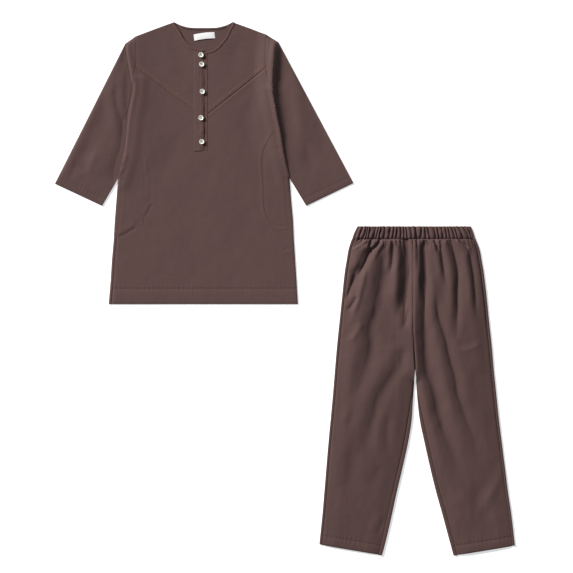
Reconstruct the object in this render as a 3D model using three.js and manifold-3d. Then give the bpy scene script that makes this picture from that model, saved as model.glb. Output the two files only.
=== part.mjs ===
// A boy's thobe and its trousers, laid flat side by side: a collarless long tunic with a V yoke and a
// half placket, and pull-on trousers with a gathered elastic waist. Lengths are in millimetres, +X runs
// across the set, +Y towards the neck and +Z up off the table. The origin is under the set's middle.
import * as THREE from "three";
import { mergeVertices } from "three/addons/utils/BufferGeometryUtils.js";
import Module from "manifold-3d";

const wasm = await Module();
wasm.setup();

// Cloth and how it is stacked
const wall = 1.0; // one layer of cloth
const gap = 0.3; // between two pieces at a seam, or one lying on another
const layer = wall + gap;
const hollow = 0.6; // air inside a flattened tube
const tubeHeight = 2 * wall + hollow; // a sleeve lying flat
const rollHeight = 3.6; // a leg's edge, rolled over to the front
const tallest = 40; // cutting prisms reach this far above and below the cloth
const weld = 1e-3; // points closer than this are one

// Where each garment lies: the tunic's hem on its centre line, the trousers' lowest hem point likewise
const tunicPlace = new THREE.Vector3(-184.05, -34.7, 0);
const trousersPlace = new THREE.Vector3(291.75, -602, 0);

// Tunic, from its centre line and up from its hem
const tunicSide = [
  { y: 0, left: -214, right: 213.6 },
  { y: 54, left: -209.5, right: 210.4 },
  { y: 99, left: -206.8, right: 207.5 },
  { y: 145, left: -202.7, right: 204.5 },
  { y: 190, left: -200, right: 202.5 },
  { y: 235, left: -196.4, right: 198.4 },
  { y: 286.5, left: -192.6, right: 194.5 },
];
const tunicShoulder = [
  { x: 65.8, y: 636.7 },
  { x: 103.8, y: 623 },
  { x: 128, y: 613.7 },
  { x: 147, y: 606.4 },
];
const backNeck = [
  { x: 65.8, y: 636.7 },
  { x: 49.4, y: 629 },
  { x: 31.5, y: 624.6 },
  { x: 0, y: 623.6 },
];
const frontNeckLeft = [
  { x: -65.8, y: 636.7 },
  { x: -62.4, y: 629.9 },
  { x: -53.8, y: 616.8 },
  { x: -45.9, y: 602 },
  { x: -36.5, y: 590 },
  { x: -27.4, y: 581.7 },
  { x: -16.7, y: 577.4 },
  { x: 0.9, y: 574.4 },
];
const frontNeckRight = [
  { x: 1.2, y: 569.6 },
  { x: 9.6, y: 570.4 },
  { x: 20.7, y: 573.2 },
  { x: 32.9, y: 581.8 },
  { x: 42.4, y: 592.7 },
  { x: 50.4, y: 603.4 },
  { x: 58.3, y: 619.3 },
  { x: 64.5, y: 629.9 },
  { x: 65.8, y: 636.7 },
];
const bindingWidth = 5;
const sideTop = 286; // the side seams end here, under the sleeves
const yokeSeam = { leftX: -152.3, leftY: 534, rightX: 139.6, rightY: 532.4, tipLeftY: 433.5, tipRightY: 429 };
const yokeNeckEnd = { left: 577, right: 570.4 }; // where each yoke's neck edge meets the placket
const sideLap = { top: 156, inset: 6.8, step: 4 }; // up to here the left side seam lies in from the edge

// Half placket: the upper lap lies over the lower strip, its free edge to the right. The front has a slot
// for it from slotLeft to right.
const placket = { left: -21.6, freeEdge: 0.9, right: 9.5, bottom: 347, slotLeft: -14.1 };
const stripTop = { left: 568.8, right: 569.9 }; // the lower strip's upper end, under the neck binding
const lapTop = [
  { x: placket.freeEdge, y: 574.4 },
  { x: -16.7, y: 577 },
  { x: placket.left, y: 578.6 },
]; // the neck's edge over the upper lap

// Armhole: the seam, the fold that hides it lower down, and how far the sleeve goes in under the front
const armhole = {
  left: {
    seam: [
      { x: -151.2, y: 606 },
      { x: -151.2, y: 575 },
      { x: -151.2, y: 541.8 },
      { x: -155.3, y: 519 },
    ],
    fold: [
      { x: -172.5, y: 592 },
      { x: -168.2, y: 555.5 },
      { x: -161, y: 519 },
      { x: -156.9, y: 489.6 },
      { x: -162.5, y: 455 },
      { x: -170, y: 417 },
      { x: -175.7, y: 360 },
      { x: -183.2, y: 324 },
      { x: -192.6, y: 286.5 },
    ],
    corner: { x: -192.6, y: 286.5 },
    cuffOuter: { x: -335.4, y: 271.9 },
    cuffInner: { x: -228.6, y: 221.9 },
    shoulderTip: { x: -176.5, y: 588 },
  },
  right: {
    seam: [
      { x: 141.4, y: 609 },
      { x: 139.2, y: 575 },
      { x: 139.2, y: 540 },
      { x: 143, y: 515 },
      { x: 150, y: 495 },
    ],
    fold: [
      { x: 164, y: 596 },
      { x: 158.5, y: 555.5 },
      { x: 157, y: 519 },
      { x: 156.4, y: 491.9 },
      { x: 162.3, y: 460 },
      { x: 168.8, y: 424 },
      { x: 176.8, y: 385 },
      { x: 183, y: 345 },
      { x: 194.5, y: 286.5 },
    ],
    corner: { x: 194.5, y: 286.5 },
    cuffOuter: { x: 339, y: 273.2 },
    cuffInner: { x: 232.1, y: 221.9 },
    shoulderTip: { x: 169, y: 592 },
  },
};
const sleeveUnder = 12; // the sleeve starts this far inside the body's fold
const foldMeet = 15; // the seam's end and the fold that hides it overlap by this much
const sleeveAcross = 11; // points across a sleeve
const underarm = 289; // height of the sleeve's lowest start
const foldRaise = 1.8; // the armhole fold stands this far above the sleeve
const headHeight = 0.9; // the sleeve's head, under the front, stands this far above a flat sleeve
const sleeveLift = tubeHeight + headHeight + gap - layer; // the front rises by this much over that head
const overHead = { from: -48, to: -20, low: 225, high: 262 }; // where it rises, from the sleeve's start
const sleeveRings = {
  raised: { inside: 7, endInside: 6, endDrop: 0.6 }, // the ring under the fold
  beside: { outside: 4, inside: 2, endInside: 2, endDrop: 1.8, top: 560 }, // the ring just outside it
  raising: { from: 2, to: 40, seamShare: 0.5 }, // the fold rises over this height above the seam's end
  stretches: 7, // from there to the cuff
};

// Side pockets: bags between front and back
const pocketLeft = [
  { x: -159, y: 352 },
  { x: -140, y: 346 },
  { x: -129.6, y: 320 },
  { x: -126.5, y: 269 },
  { x: -121, y: 236 },
  { x: -128, y: 212 },
  { x: -134.8, y: 191 },
  { x: -160.3, y: 169 },
  { x: -190, y: 156 },
];
const pocketRight = [
  { x: 160, y: 390 },
  { x: 151.9, y: 377 },
  { x: 138, y: 349 },
  { x: 133.7, y: 315 },
  { x: 131.4, y: 258 },
  { x: 136.5, y: 218 },
  { x: 148.9, y: 193 },
  { x: 165.5, y: 177 },
  { x: 196, y: 173 },
];
const pocketSlope = { from: -30, to: -9 }; // over this distance from a bag's edge the front rises over it
const bagSide = { from: 180, step: 30, clear: 15, inset: 8, besideHead: 1.5 }; // a bag's edge at the side

// Buttons on the upper lap, from the neck down
const buttonPlaces = [
  { x: -4.9, y: 562.1 },
  { x: -3.3, y: 541 },
  { x: -1.9, y: 479.4 },
  { x: -5, y: 420 },
  { x: -3.2, y: 366.4 },
];
const button = {
  radius: 5.8,
  height: 2.6,
  foot: { inset: 0.8, height: 0.9 },
  rim: { inset: 0.6, drop: 0.8 },
  dish: { radius: 4.1, slope: 0.3, depth: 0.8 },
  hole: { at: 1.25, radius: 0.65, sides: 6 },
  sides: 14,
};

const label = { width: 47.4, height: 14, x: 2.4, y: 605, tilt: 0.12 };

// Trousers, from their centre line and up from the lowest hem point
const band = { bottom: 715.3, top: 743, bottomLeft: -139.8, bottomRight: 137.6, topLeft: -128, topRight: 128 };
const casing = { thickness: 2, inner: 1, levels: [0, 0.3, 0.75, 1], plainSteps: 10 };
const endTurns = [-45, 0, 45]; // degrees round the band's two ends
const gathers = { count: 30, steps: 4, height: 1.3, ends: 3 };
const unevenness = { middle: 0.75, range: 0.25, change: 1.7, start: 1 }; // from one gather to the next
const legSide = [
  { y: 0, left: -216.5, right: 230.5 },
  { y: 37, left: -212.9, right: 225.9 },
  { y: 92, left: -207.3, right: 219.5 },
  { y: 146, left: -202.7, right: 211.6 },
  { y: 201, left: -198.2, right: 204.8 },
  { y: 255, left: -193.6, right: 197.9 },
  { y: 310, left: -188.4, right: 191.1 },
  { y: 364, left: -183.4, right: 185.5 },
  { y: 419, left: -178.9, right: 179.8 },
  { y: 473, left: -174.3, right: 175.2 },
  { y: 527, left: -168.7, right: 169.4 },
  { y: 582, left: -163, right: 163.9 },
  { y: 636, left: -157.3, right: 157.5 },
  { y: 664, left: -152.8, right: 152.8 },
  { y: 691, left: -148.2, right: 147.8 },
  { y: 715, left: -140.5, right: 138.4 },
];
const inseam = [
  { y: 0, left: -72.6, right: 88.7 },
  { y: 37, left: -62.8, right: 78.6 },
  { y: 92, left: -50.2, right: 63.8 },
  { y: 146, left: -38.5, right: 48.7 },
  { y: 201, left: -25.5, right: 35.3 },
  { y: 255, left: -13.7, right: 23.2 },
  { y: 304, left: -5.8, right: 12.8 },
  { y: 350, left: -2.7, right: 7.4 },
  { y: 391, left: 0.4, right: 4.7 },
];
const crotch = { x: 2.4, y: 418 };
const frontSeam = [
  { x: -3.2, y: 715 },
  { x: -3.2, y: 509 },
  { x: -1.6, y: 490 },
  { x: 2.4, y: 418 },
];
const legHem = {
  left: { outer: { x: -222, y: 26 }, inner: { x: -64, y: -0.8 } },
  right: { outer: { x: 236, y: 23.9 }, inner: { x: 84, y: -1 } },
};
const hemCut = -60; // what lies between a hem and this height is cut away
const lap = { side: 6, inseam: 9, flat: 6, join: 0.5 }; // an edge's roll, its way back below, its join

// Folds in the trouser fronts: each runs through three points, sinks by depth and is flanked by ridges
const folds = [
  { x1: -28, y1: 715, x2: -24.3, y2: 640, x3: -29, y3: 560, half: 9, depth: 4.2 },
  { x1: -24, y1: 560, x2: -24, y2: 520, x3: -26, y3: 430, half: 8, depth: 2 },
  { x1: 15, y1: 715, x2: 18.5, y2: 640, x3: 14.5, y3: 564, half: 8, depth: 4.2 },
  { x1: 14.5, y1: 564, x2: 26, y2: 466, x3: 36, y3: 376, half: 9, depth: 3.2 },
  { x1: 36, y1: 376, x2: 61, y2: 250, x3: 88, y3: 114, half: 10, depth: 2.2 },
  { x1: -104, y1: 715, x2: -109, y2: 690, x3: -128, y3: 630, half: 8, depth: 3.6 },
  { x1: -80, y1: 690, x2: -85, y2: 600, x3: -104, y3: 500, half: 12, depth: 2.8 },
  { x1: -104, y1: 500, x2: -116, y2: 434, x3: -167, y3: 341, half: 11, depth: 3 },
  { x1: -52, y1: 712, x2: -53, y2: 690, x3: -56, y3: 650, half: 7, depth: 2.2 },
  { x1: 56, y1: 712, x2: 66, y2: 650, x3: 74, y3: 577, half: 7, depth: 2 },
  { x1: 82, y1: 712, x2: 94, y2: 602, x3: 90, y3: 470, half: 9, depth: 3.4 },
  { x1: 112, y1: 712, x2: 130, y2: 610, x3: 141, y3: 500, half: 9, depth: 2.8 },
  { x1: 48, y1: 623, x2: 62, y2: 520, x3: 88, y3: 394, half: 10, depth: 2.2 },
  { x1: 88, y1: 394, x2: 113, y2: 290, x3: 148, y3: 178, half: 12, depth: 2 },
  { x1: -42, y1: 421, x2: -85, y2: 344, x3: -120, y3: 228, half: 11, depth: 2.6 },
  { x1: -66, y1: 330, x2: -67, y2: 270, x3: -58, y3: 225, half: 10, depth: 1.6 },
  { x1: 198, y1: 214, x2: 184, y2: 160, x3: 139, y3: 87, half: 12, depth: 1.6 },
];
const legFlatness = { base: 4.3, least: 1.4, softness: 0.8, ridge: 0.62, ridgeAt: 1.7, deepen: 1.35 };
const legEdge = { from: -2, to: 16 }; // over this distance from a seam the front's folds begin
const foldReach = 3; // a fold fades in and out over this many half widths

// Soft lengthwise folds along the left and right sleeves, under the same rule
const sleeveFolds = [
  { x1: -190, y1: 520, x2: -181, y2: 440, x3: -186, y3: 350, half: 11, depth: 1.3 },
  { x1: 196, y1: 500, x2: 200, y2: 430, x3: 214, y3: 340, half: 13, depth: 1.1 },
];

// Distance between a panel's points, across and along
const yokeGrid = { x: 24, y: 24 };
const frontGrid = { x: 19, y: 24 };
const legGrid = { x: 8, y: 34 };

// Materials
const cloth = new THREE.MeshStandardMaterial({ color: 0x5f4944, roughness: 0.85, metalness: 0 });
const woven = new THREE.MeshStandardMaterial({ color: 0xf2f2ef, roughness: 0.7, metalness: 0 });
const pearl = new THREE.MeshStandardMaterial({ color: 0xf0f0ea, roughness: 0.3, metalness: 0 });

// A closed solid from vertices and triangles, turned to face out
function solidFrom(points, triangles) {
  const geometry = new THREE.BufferGeometry();
  geometry.setAttribute("position", new THREE.Float32BufferAttribute(points.flat(), 3));
  geometry.setIndex(triangles.flat());
  const merged = mergeVertices(geometry, weld);
  const index = Uint32Array.from(merged.index.array);
  const make = () =>
    new wasm.Manifold(
      new wasm.Mesh({ numProp: 3, vertProperties: merged.attributes.position.array, triVerts: index }),
    );
  const solid = make();
  if (solid.volume() > 0) return solid;
  for (let i = 0; i < index.length; i += 3) [index[i], index[i + 1]] = [index[i + 1], index[i]];
  return make();
}

function solidFromGeometry(geometry) {
  geometry.deleteAttribute("normal");
  geometry.deleteAttribute("uv");
  const merged = mergeVertices(geometry, weld);
  const points = [];
  const at = merged.attributes.position;
  for (let i = 0; i < at.count; i++) points.push([at.getX(i), at.getY(i), at.getZ(i)]);
  const triangles = [];
  for (let i = 0; i < merged.index.count; i += 3)
    triangles.push([merged.index.getX(i), merged.index.getX(i + 1), merged.index.getX(i + 2)]);
  return solidFrom(points, triangles);
}

function meshOf(name, solid, material) {
  const { vertProperties, triVerts } = solid.getMesh();
  const geometry = new THREE.BufferGeometry();
  geometry.setAttribute("position", new THREE.BufferAttribute(vertProperties, 3));
  geometry.setIndex(new THREE.BufferAttribute(triVerts, 1));
  geometry.computeVertexNormals();
  const mesh = new THREE.Mesh(geometry, material);
  mesh.name = name;
  return mesh;
}

// A wall between two grids of points, rows by columns: panels, rolled edges and strips
function wallBetween(upper, lower) {
  const rows = upper.length;
  const columns = upper[0].length;
  const points = [...upper.flat(), ...lower.flat()];
  const up = (i, j) => i * columns + j;
  const low = (i, j) => rows * columns + i * columns + j;
  const triangles = [];
  for (let i = 0; i + 1 < rows; i++)
    for (let j = 0; j + 1 < columns; j++) {
      triangles.push([up(i, j), up(i, j + 1), up(i + 1, j + 1)]);
      triangles.push([up(i, j), up(i + 1, j + 1), up(i + 1, j)]);
      triangles.push([low(i, j), low(i + 1, j + 1), low(i, j + 1)]);
      triangles.push([low(i, j), low(i + 1, j), low(i + 1, j + 1)]);
    }
  const rim = [];
  for (let j = 0; j < columns - 1; j++) rim.push([0, j]);
  for (let i = 0; i < rows - 1; i++) rim.push([i, columns - 1]);
  for (let j = columns - 1; j > 0; j--) rim.push([rows - 1, j]);
  for (let i = rows - 1; i > 0; i--) rim.push([i, 0]);
  rim.forEach(([i, j], k) => {
    const [m, n] = rim[(k + 1) % rim.length];
    triangles.push([low(i, j), low(m, n), up(m, n)]);
    triangles.push([low(i, j), up(m, n), up(i, j)]);
  });
  return solidFrom(points, triangles);
}

// A tube's wall between rings of outer and inner points, open at both ends
function tubeBetween(outer, inner) {
  const rings = outer.length;
  const around = outer[0].length;
  const points = [...outer.flat(), ...inner.flat()];
  const out = (i, j) => i * around + (j % around);
  const inn = (i, j) => rings * around + i * around + (j % around);
  const triangles = [];
  for (let j = 0; j < around; j++) {
    for (let i = 0; i + 1 < rings; i++) {
      triangles.push([out(i, j), out(i, j + 1), out(i + 1, j + 1)]);
      triangles.push([out(i, j), out(i + 1, j + 1), out(i + 1, j)]);
      triangles.push([inn(i, j), inn(i + 1, j + 1), inn(i, j + 1)]);
      triangles.push([inn(i, j), inn(i + 1, j), inn(i + 1, j + 1)]);
    }
    const last = rings - 1;
    triangles.push([out(0, j + 1), out(0, j), inn(0, j)]);
    triangles.push([out(0, j + 1), inn(0, j), inn(0, j + 1)]);
    triangles.push([out(last, j), out(last, j + 1), inn(last, j + 1)]);
    triangles.push([out(last, j), inn(last, j + 1), inn(last, j)]);
  }
  return solidFrom(points, triangles);
}

// A prism over an outline of {x, y} points
function prism(outline, low = -tallest, high = tallest) {
  const shape = new THREE.Shape(outline.map(({ x, y }) => new THREE.Vector2(x, y)));
  const geometry = new THREE.ExtrudeGeometry(shape, { depth: high - low, bevelEnabled: false });
  geometry.translate(0, 0, low);
  return solidFromGeometry(geometry);
}

// A panel of cloth over a relief: its underside follows relief(x, y), its top is moved out along the normal
function panel(outline, relief, grid) {
  const box = new THREE.Box2().setFromPoints(outline.map(({ x, y }) => new THREE.Vector2(x, y)));
  box.expandByScalar(3); // the outline's prism then cuts right through it
  const size = box.getSize(new THREE.Vector2());
  const columns = Math.ceil(size.x / grid.x);
  const rows = Math.ceil(size.y / grid.y);
  const lower = [];
  const upper = [];
  const near = 0.5; // the relief's slope is read over this distance
  for (let i = 0; i <= rows; i++) {
    lower.push([]);
    upper.push([]);
    for (let j = 0; j <= columns; j++) {
      const x = box.min.x + (size.x * j) / columns;
      const y = box.min.y + (size.y * i) / rows;
      const slopeX = (relief(x + near, y) - relief(x - near, y)) / (2 * near);
      const slopeY = (relief(x, y + near) - relief(x, y - near)) / (2 * near);
      const out = new THREE.Vector3(-slopeX, -slopeY, 1).normalize().multiplyScalar(wall);
      const z = relief(x, y);
      lower[i].push([x, y, z]);
      upper[i].push([x + out.x, y + out.y, z + out.z]);
    }
  }
  return wallBetween(upper, lower).intersect(prism(outline));
}

// A column of a table at height y, between its rows
function at(table, key, y) {
  const rows = [...table].sort((a, b) => a.y - b.y);
  if (y <= rows[0].y) return rows[0][key];
  for (let i = 1; i < rows.length; i++)
    if (y <= rows[i].y)
      return THREE.MathUtils.mapLinear(y, rows[i - 1].y, rows[i].y, rows[i - 1][key], rows[i][key]);
  return rows.at(-1)[key];
}

const { smoothstep, lerp, degToRad } = THREE.MathUtils;

// How much the folds of a table raise or sink the cloth at a point
function foldHeight(table, x, y) {
  let height = 0;
  for (const f of table) {
    const reach = foldReach * f.half;
    if (y > f.y1 + reach || y < f.y3 - reach) continue;
    const t = THREE.MathUtils.clamp((f.y1 - y) / (f.y1 - f.y3), 0, 1);
    const middle = (f.y1 - f.y2) / (f.y1 - f.y3);
    const straight = lerp(f.x1, f.x3, middle);
    const bend = (f.x2 - straight) / (middle * (1 - middle));
    const along = lerp(f.x1, f.x3, t) + bend * t * (1 - t);
    const side = (x - along) / f.half;
    const fade = smoothstep(y, f.y3 - reach, f.y3 + reach) * (1 - smoothstep(y, f.y1 - f.half, f.y1 + reach));
    const ridges =
      Math.exp(-((side - legFlatness.ridgeAt) ** 2)) + Math.exp(-((side + legFlatness.ridgeAt) ** 2));
    height += f.depth * fade * (legFlatness.ridge * ridges - Math.exp(-side * side));
  }
  return height;
}

// Distance from a point to the nearest of an outline's edges, positive inside it
function insideBy(outline, x, y) {
  let nearest = Infinity;
  let inside = false;
  outline.forEach((a, k) => {
    const b = outline[(k + 1) % outline.length];
    const edgeX = b.x - a.x;
    const edgeY = b.y - a.y;
    const t = THREE.MathUtils.clamp(
      ((x - a.x) * edgeX + (y - a.y) * edgeY) / (edgeX * edgeX + edgeY * edgeY),
      0,
      1,
    );
    nearest = Math.min(nearest, Math.hypot(x - a.x - t * edgeX, y - a.y - t * edgeY));
    if (a.y > y !== b.y > y && x < a.x + ((y - a.y) * edgeX) / edgeY) inside = !inside;
  });
  return inside ? nearest : -nearest;
}

// Each x of an outline moved sideways
const shifted = (points, dx) => points.map(({ x, y }) => ({ x: x + dx, y }));
const mirrored = (points) => points.map(({ x, y }) => ({ x: -x, y })).reverse();

// Evenly spaced points along a smooth line
function spaced(points, count) {
  const path = new THREE.CatmullRomCurve3(points.map(({ x, y }) => new THREE.Vector3(x, y, 0)));
  return path.getSpacedPoints(count - 1).map(({ x, y }) => ({ x, y }));
}

// The part of an armhole's fold that lies below the end of its seam
const lowFold = (side) => armhole[side].fold.filter(({ y }) => y < armhole[side].seam.at(-1).y - foldMeet);

// Where the sleeve begins: the seam high up, and lower down a line inside the body's fold
function sleeveLine(side) {
  const inward = side === "left" ? sleeveUnder : -sleeveUnder;
  const under = shifted(lowFold(side), inward);
  under.at(-1).y = underarm;
  return spaced([...armhole[side].seam, ...under], sleeveAcross);
}
const sleeveStart = { left: sleeveLine("left"), right: sleeveLine("right") };

// The front's armhole edge: along the seam, then along the fold that lies over the sleeve
function frontArmhole(side) {
  const inward = side === "left" ? gap : -gap;
  const seamEnd = armhole[side].seam.at(-1).y;
  return [...shifted(sleeveStart[side].filter(({ y }) => y > seamEnd), inward), ...lowFold(side)];
}

// The back's corner below the sleeve, from the underarm corner
const armpit = [
  { x: 0.4, y: 282 },
  { x: -3.2, y: 285.6 },
];
const sideRows = (key) => tunicSide.filter(({ y }) => y < sideTop).map((row) => ({ x: row[key], y: row.y }));

function tunicBack() {
  const left = shifted(sleeveStart.left, gap);
  const right = shifted(sleeveStart.right, -gap);
  const outline = [
    ...sideRows("right"),
    ...shifted(armpit, armhole.right.corner.x),
    { x: right.at(-1).x, y: underarm - 2 },
    ...right.slice(0, -1).reverse(),
    ...tunicShoulder.slice(0, -1).reverse(),
    ...backNeck.slice(1),
    ...mirrored(backNeck.slice(1, -1)),
    ...mirrored(tunicShoulder.slice(0, -1)).reverse(),
    ...left.slice(0, -1),
    { x: left.at(-1).x, y: underarm - 2 },
    ...mirrored(shifted(armpit, -armhole.left.corner.x)),
    ...sideRows("left").reverse(),
  ];
  return prism(outline, 0, wall);
}

// The height of the tunic's front: it rises over the pocket bags and over the sleeves' heads
function frontRelief(x, y) {
  const side = x < 0 ? "left" : "right";
  const bag = x < 0 ? pocketBagLeft : pocketBagRight;
  const overBag = smoothstep(insideBy(bag, x, y), pocketSlope.from, pocketSlope.to);
  const start = at(sleeveStart[side], "x", y);
  const past = x < 0 ? start - x : x - start;
  const across = smoothstep(past, overHead.from, overHead.to);
  const overSleeve = across * smoothstep(y, overHead.low, overHead.high);
  return layer + Math.max(layer * overBag, sleeveLift * overSleeve);
}

// A bag's outline, closed along the side seam and clear of the sleeve's head
function bagOutline(points, side) {
  const inward = side === "left" ? 1 : -1;
  const edge = [];
  for (let y = bagSide.from; y < points[0].y - bagSide.clear; y += bagSide.step) {
    const body = at(tunicSide, side, y) + inward * bagSide.inset;
    const head = y > overHead.high ? at(sleeveStart[side], "x", y) + inward * bagSide.besideHead : body;
    edge.push({ x: inward > 0 ? Math.max(body, head) : Math.min(body, head), y });
  }
  return [...points, ...edge];
}
const pocketBagLeft = bagOutline(pocketLeft, "left");
const pocketBagRight = bagOutline(pocketRight, "right");

function yoke(side) {
  const left = side === "left";
  const neck = left ? frontNeckLeft : frontNeckRight;
  const inner = left ? placket.slotLeft : placket.right + gap;
  const edge = frontArmhole(side).filter(({ y }) => y > (left ? yokeSeam.leftY : yokeSeam.rightY));
  const seamY = left ? yokeSeam.tipLeftY : yokeSeam.tipRightY;
  const shoulder = left ? mirrored(tunicShoulder).reverse() : [...tunicShoulder].reverse();
  const corner = left ? { x: yokeSeam.leftX, y: yokeSeam.leftY } : { x: yokeSeam.rightX, y: yokeSeam.rightY };
  const neckPart = neck.filter(({ x }) => (left ? x < inner : x > inner));
  const neckEnd = { x: inner, y: yokeNeckEnd[side] };
  const crest = shoulder.slice(1, -1);
  const neckRow = neckPart.reverse();
  const tip = { x: inner, y: seamY };
  const outline = left
    ? [corner, tip, neckEnd, ...neckRow, ...crest, ...edge]
    : [tip, corner, ...edge.reverse(), ...crest, ...neckRow, neckEnd];
  return panel(outline, frontRelief, yokeGrid);
}

// The front's left edge: inside the turned-up edge of the back, then out to the side seam above it
function frontLeftSide() {
  const rows = sideRows("left");
  const seam = at(tunicSide, "left", sideLap.top);
  return [
    ...shifted(rows.filter(({ y }) => y < sideLap.top), sideLap.inset),
    { x: seam + sideLap.inset, y: sideLap.top - sideLap.step },
    { x: seam, y: sideLap.top },
    ...rows.filter(({ y }) => y > sideLap.top),
  ];
}

function tunicFront() {
  const below = (side, top) => frontArmhole(side).filter(({ y }) => y < top);
  const outline = [
    ...sideRows("right"),
    ...below("right", yokeSeam.rightY - gap).reverse(),
    { x: yokeSeam.rightX, y: yokeSeam.rightY - gap },
    { x: placket.right + gap, y: yokeSeam.tipRightY - 2 * gap },
    { x: placket.right + gap, y: placket.bottom - gap },
    { x: placket.slotLeft, y: placket.bottom - gap },
    { x: placket.slotLeft, y: yokeSeam.tipLeftY - 2 * gap },
    { x: yokeSeam.leftX, y: yokeSeam.leftY - gap },
    ...below("left", yokeSeam.leftY - gap),
    ...frontLeftSide().reverse(),
  ];
  return panel(outline, frontRelief, frontGrid);
}

// Both strips of the placket, the upper one resting on the yoke's edge and on the lower one
function placketStrips() {
  const lower = prism(
    [
      { x: placket.slotLeft + gap, y: placket.bottom },
      { x: placket.right, y: placket.bottom },
      { x: placket.right, y: stripTop.right },
      { x: placket.slotLeft + gap, y: stripTop.left },
    ],
    layer,
    layer + wall,
  );
  const upper = prism(
    [
      { x: placket.left, y: placket.bottom - 1 },
      { x: placket.freeEdge, y: placket.bottom - 1 },
      ...lapTop.map(({ x, y }) => ({ x, y: y - bindingWidth - gap })),
    ],
    2 * layer,
    2 * layer + wall,
  );
  return { lower, upper };
}

// A strip of binding along an edge, on the side given
function bindingAlong(points, side, low) {
  const curve = new THREE.SplineCurve(points.map(({ x, y }) => new THREE.Vector2(x, y)));
  const steps = 14;
  const edge = curve.getPoints(steps);
  const inner = edge.map((p, i) => {
    const along = curve.getTangent(i / steps);
    return { x: p.x - along.y * side * bindingWidth, y: p.y + along.x * side * bindingWidth };
  });
  const outline = [...edge.map(({ x, y }) => ({ x, y })), ...inner.reverse()];
  return prism(outline, low, low + wall);
}

// One ring of a flattened sleeve: line runs from its outer edge to its inner one
function flatRing(line, topAt) {
  const radius = tubeHeight / 2;
  const ends = [
    { from: line[0], to: line[1] },
    { from: line.at(-1), to: line.at(-2) },
  ].map(({ from, to }) => {
    const length = Math.hypot(to.x - from.x, to.y - from.y);
    return { x: (from.x - to.x) / length, y: (from.y - to.y) / length, at: from };
  });
  const centre = (end) => ({ x: end.at.x - end.x * radius, y: end.at.y - end.y * radius });
  const inset = [centre(ends[0]), ...line.slice(1, -1), centre(ends[1])];
  const arc = (end, r, turn) =>
    [-45, 0, 45].map((degrees) => {
      const angle = degToRad(degrees * turn);
      const mid = centre(end);
      const out = r * Math.cos(angle);
      return [mid.x + end.x * out, mid.y + end.y * out, radius + r * Math.sin(angle)];
    });
  const loop = (r, low, drop) => [
    ...inset.map(({ x, y }) => [x, y, low]),
    ...arc(ends[1], r, 1),
    ...[...inset].reverse().map(({ x, y }) => [x, y, topAt(x, y) - drop]),
    ...arc(ends[0], r, -1),
  ];
  return { outer: loop(radius, 0, 0), inner: loop(radius - wall, wall, wall) };
}

// A sleeve lying flat: seam line, raised fold, then straight down to the cuff
function sleeve(side) {
  const data = armhole[side];
  const sign = side === "left" ? -1 : 1;
  const seamEnd = data.seam.at(-1).y;
  const shown = data.fold.filter(({ y }) => y >= seamEnd - foldMeet);
  const hidden = lowFold(side).slice(0, -1);
  const { raised, beside, raising, stretches } = sleeveRings;
  const end = ({ endInside, endDrop }) => ({ x: data.corner.x - sign * endInside, y: underarm - endDrop });
  const foldRing = spaced([...shown, ...shifted(hidden, -sign * raised.inside), end(raised)], sleeveAcross);
  const stepRing = spaced(
    [
      data.shoulderTip,
      ...shifted(shown.filter(({ y }) => y < beside.top), sign * beside.outside),
      ...shifted(hidden, -sign * beside.inside),
      end(beside),
    ],
    sleeveAcross,
  );
  const cuffRing = spaced([data.cuffOuter, data.cuffInner], sleeveAcross);
  const lines = [sleeveStart[side], foldRing, stepRing];
  for (let k = 1; k <= stretches; k++)
    lines.push(
      stepRing.map((p, j) => ({
        x: lerp(p.x, cuffRing[j].x, k / stretches),
        y: lerp(p.y, cuffRing[j].y, k / stretches),
      })),
    );
  const plain = (x, y) => tubeHeight + Math.max(foldHeight(sleeveFolds, x, y), -hollow / 2);
  const raisedBy = (share) => (x, y) =>
    tubeHeight + share * foldRaise * smoothstep(y, seamEnd + raising.from, seamEnd + raising.to);
  const tops = [raisedBy(raising.seamShare), raisedBy(1)];
  const rings = lines.map((line, k) => flatRing(line, tops[k] ?? plain));
  return tubeBetween(
    rings.map(({ outer }) => outer),
    rings.map(({ inner }) => inner),
  );
}

function buttonSolid() {
  const { radius, height, foot, rim, dish, hole, sides } = button;
  const profile = [
    [0, 0],
    [radius - foot.inset, 0],
    [radius, foot.height],
    [radius, height - rim.drop],
    [radius - rim.inset, height],
    [dish.radius + dish.slope, height],
    [dish.radius - dish.slope, height - dish.depth],
    [0, height - dish.depth],
  ].map(([x, y]) => new THREE.Vector2(x, y));
  let solid = solidFromGeometry(new THREE.LatheGeometry(profile, sides).rotateX(Math.PI / 2));
  for (const [dx, dy] of [[1, 1], [1, -1], [-1, 1], [-1, -1]]) {
    const drill = new THREE.CylinderGeometry(hole.radius, hole.radius, 2 * tallest, hole.sides);
    drill.rotateX(Math.PI / 2).translate(dx * hole.at, dy * hole.at, 0);
    solid = solid.subtract(solidFromGeometry(drill));
  }
  return solid;
}

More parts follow.
